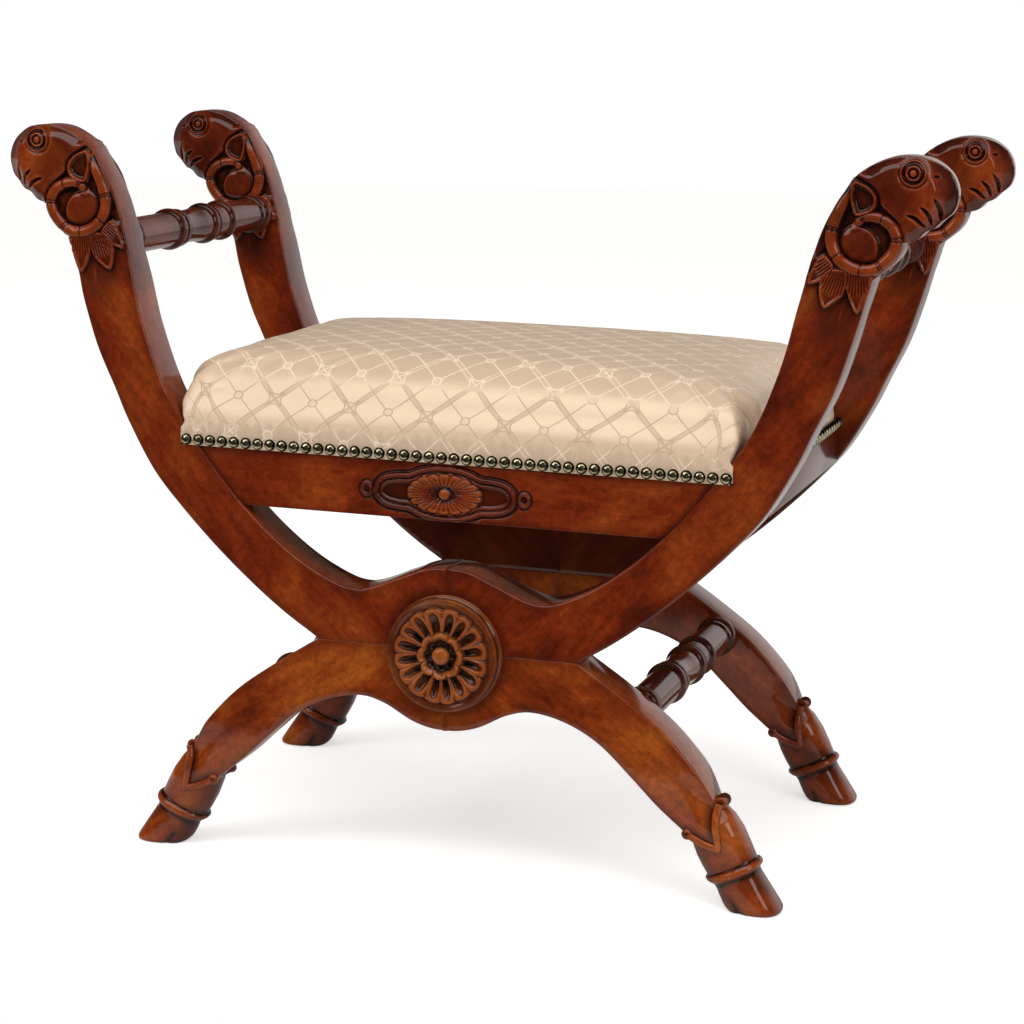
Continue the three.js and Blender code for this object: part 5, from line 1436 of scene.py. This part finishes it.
# Hem: the cut edge of the cover, folded under and showing as a pale strip below the nails.
HEM_TOP = 412
hem_parts = []
for sign in (-1, 1):
    points, faces = eased_block((-268.0, 207.7, SATIN_LOW), (268.0, 208.7, HEM_TOP), 0.4, 2)
    hem_parts.append((*flipped(points, faces, 1, sign), 0))
    points, faces = eased_block((293.4, -160.4, SATIN_LOW), (296.0, 160.4, HEM_TOP), 0.5, 2)
    hem_parts.append((*flipped(points, faces, sign, 1), 0))
points, faces, _ = joined(*hem_parts)
made = bpy.data.meshes.new("cover_hem")
made.from_pydata((points * MM).tolist(), [], faces)
store_vectors(made, "cloth", points[:, [0, 2, 1]] * MM)
made.materials.append(satin)
hem = new_object("cover_hem", made)
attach(hem, "root")

# Upholstery nails: close-set domed nails of brass-plated steel with an antique patina, driven
# side by side through the hem along all four rails.
NAIL_PITCH = 12.3
NAIL_HEIGHT = 408.2
NAIL_RADIUS = 5.7
NAIL_RISE = 4.0


def nail_row_tree():
    """Geometry nodes: a dome at every pitch along a line, each turned and tilted a little."""
    tree = bpy.data.node_groups.new("row_of_nails", "GeometryNodeTree")
    face = tree.interface
    face.new_socket("Geometry", in_out="INPUT", socket_type="NodeSocketGeometry")
    sockets = {}
    for name, kind, value in (
        ("Pitch", "NodeSocketFloat", NAIL_PITCH * MM), ("Radius", "NodeSocketFloat", NAIL_RADIUS * MM),
        ("Rise", "NodeSocketFloat", NAIL_RISE * MM), ("Tilt", "NodeSocketFloat", 0.07),
        ("Facing", "NodeSocketVector", (math.pi / 2, 0, 0)), ("Seed", "NodeSocketInt", 7),
        ("Finish", "NodeSocketMaterial", None),
    ):
        socket = face.new_socket(name, in_out="INPUT", socket_type=kind)
        if value is not None:
            socket.default_value = value
        sockets[name] = socket.identifier
    face.new_socket("Geometry", in_out="OUTPUT", socket_type="NodeSocketGeometry")
    source = add_node(tree, "NodeGroupInput").outputs
    line = add_node(tree, "GeometryNodeMeshToCurve", None, {"Mesh": source["Geometry"]})
    spaced = add_node(tree, "GeometryNodeResampleCurve", {"mode": "LENGTH"},
                      {"Curve": line.outputs[0], "Length": source["Pitch"]})
    places = add_node(tree, "GeometryNodeCurveToPoints", {"mode": "EVALUATED"}, {"Curve": spaced.outputs[0]})
    ball = add_node(tree, "GeometryNodeMeshUVSphere", None, {"Radius": source["Radius"]},
                    Segments=12, Rings=8)
    at = add_node(tree, "GeometryNodeInputPosition")
    parted = add_node(tree, "ShaderNodeSeparateXYZ", None, {0: at.outputs[0]})
    share = maths(tree, "DIVIDE", parted.outputs[2], source["Radius"])
    kept = add_node(tree, "GeometryNodeStoreNamedAttribute", {"data_type": "FLOAT", "domain": "POINT"},
                    {"Geometry": ball.outputs[0], "Value": share}, Name="crown")
    squash = add_node(tree, "ShaderNodeCombineXYZ", None,
                      {"Z": maths(tree, "DIVIDE", source["Rise"], source["Radius"])}, X=1.0, Y=1.0)
    dome = add_node(tree, "GeometryNodeTransform", None,
                    {"Geometry": kept.outputs[0], "Scale": squash.outputs[0]})
    low = maths(tree, "MULTIPLY", source["Tilt"], -1.0)
    low3 = add_node(tree, "ShaderNodeCombineXYZ", None, {0: low, 1: low}, Z=-3.1)
    high3 = add_node(tree, "ShaderNodeCombineXYZ", None, {0: source["Tilt"], 1: source["Tilt"]}, Z=3.1)
    tilt = add_node(tree, "FunctionNodeRandomValue", {"data_type": "FLOAT_VECTOR"},
                    {"Min": low3.outputs[0], "Max": high3.outputs[0], "Seed": source["Seed"]})
    own = add_node(tree, "FunctionNodeEulerToRotation", None, {0: tilt.outputs[0]})
    faced = add_node(tree, "FunctionNodeEulerToRotation", None, {0: source["Facing"]})
    turned = add_node(tree, "FunctionNodeRotateRotation", {"rotation_space": "LOCAL"},
                      {0: faced.outputs[0], 1: own.outputs[0]})
    nails = add_node(tree, "GeometryNodeInstanceOnPoints", None,
                     {"Points": places.outputs[0], "Instance": dome.outputs[0],
                      "Rotation": turned.outputs[0]})
    real = add_node(tree, "GeometryNodeRealizeInstances", None, {0: nails.outputs[0]})
    coated = add_node(tree, "GeometryNodeSetMaterial", None,
                      {"Geometry": real.outputs[0], "Material": source["Finish"]})
    smooth = add_node(tree, "GeometryNodeSetShadeSmooth", None, {0: coated.outputs[0]})
    add_node(tree, "NodeGroupOutput", None, {0: smooth.outputs[0]})
    return tree, sockets


# Antique brass: dark brown patina and painted shade in the low places, rubbed through to pale brass and a
# painted highlight on the domes.
antique_brass, tree = new_material("antique_brass_plated_nails")
crown = add_node(tree, "ShaderNodeAttribute", {"attribute_name": "crown"}).outputs["Fac"]
place = add_node(tree, "ShaderNodeTexCoord").outputs["Object"]
wear_and_shading = maths(tree, "MULTIPLY_ADD", noise(tree, place, Scale=330.0, Detail=2.0), 0.5, crown)
patina = mixed(tree, ranged(tree, wear_and_shading, 0.85, 1.12, 0.0, 1.0), linear("#191A14"), linear("#BFB490"))
surface(tree, {"Base Color": patina}, Metallic=1.0, Roughness=0.2)

nail_tree, nail_inputs = nail_row_tree()
for seed, (node, start_at, end_at, facing) in enumerate((
    ("front_nail_band", (-264.5, -208.6, NAIL_HEIGHT), (264.5, -208.6, NAIL_HEIGHT), (math.pi / 2, 0, 0)),
    ("back_nail_band", (-264.5, 208.6, NAIL_HEIGHT), (264.5, 208.6, NAIL_HEIGHT), (-math.pi / 2, 0, 0)),
    ("left_nail_band", (-296, -155, NAIL_HEIGHT), (-296, 155, NAIL_HEIGHT), (0, -math.pi / 2, 0)),
    ("right_nail_band", (296, -155, NAIL_HEIGHT), (296, 155, NAIL_HEIGHT), (0, math.pi / 2, 0)),
)):
    name = node.replace("band", "row")
    made = bpy.data.meshes.new(name)
    made.from_pydata([tuple(c * MM for c in start_at), tuple(c * MM for c in end_at)], [(0, 1)], [])
    row = new_object(name, made)
    setting = row.modifiers.new("nails", "NODES")
    setting.node_group = nail_tree
    setting[nail_inputs["Facing"]] = facing
    setting[nail_inputs["Seed"]] = seed + 3
    setting[nail_inputs["Finish"]] = antique_brass
    settle(row, name)
    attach(row, "root")
    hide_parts(node)

# Seat board: plywood under the foam, cut round the arms. Only its edge can be seen from below.
# It keeps its CAD form, and gets the look of sanded birch ply with its long, pale grain.
def plain_wood(name, dark, light, scale, roughness):
    """An unfinished wood with its grain along X."""
    material, tree = new_material(name)
    place = add_node(tree, "ShaderNodeTexCoord").outputs["Object"]
    grain = noise(tree, place, scale, Detail=4.0, Distortion=0.5)
    surface(tree, {"Base Color": mixed(tree, grain, linear(dark), linear(light)),
                   "Normal": bumped(tree, grain, 0.2, 0.0004)}, Roughness=roughness)
    return material


def refinish(nodes, material):
    """Gives CAD nodes a finish in every material slot."""
    for node in nodes:
        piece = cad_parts[node]
        for held in piece.material_slots:
            held.material = material
        if not piece.material_slots:
            piece.data.materials.append(material)


refinish(["seat_board"], plain_wood("birch_plywood_sanded", "#A57C4C", "#C79F6C", (9, 160, 260), 0.65))

# Corner blocks: three-cornered blocks of beech, glued into the corners of the seat box, each
# with a screw up into the seat board. They are planed and left bare.
ends = [f"{frame_name}_{side_name}" for frame_name, _ in FRAMES for side_name, _ in SIDES]
beech = plain_wood("beech_planed_bare", "#A9794A", "#C89A66", (60, 320, 420), 0.6)
refinish([f"{end}_corner_block" for end in ends], beech)

# Dowels: short fluted beech pins, glued in the joints of the frames. They can't be seen.
refinish([f"{end}_{kind}_dowel_{k}" for end in ends for kind in ("hub", "apron") for k in (1, 2)], beech)
refinish([f"{frame_name}_cross_dowel_{k}" for frame_name, _ in FRAMES for k in (1, 2, 3)], beech)

# Seat screws: plain steel wood screws, bright zinc with a few dull spots.
zinc, tree = new_material("zinc_plated_steel")
place = add_node(tree, "ShaderNodeTexCoord").outputs["Object"]
spots = noise(tree, place, Scale=700.0, Detail=3.0)
surface(tree, {"Base Color": mixed(tree, spots, linear("#7C7F84"), linear("#B4B6BA")),
               "Roughness": ranged(tree, spots, 0.0, 1.0, 0.25, 0.5)}, Metallic=1.0)
refinish([f"{end}_seat_screw" for end in ends], zinc)
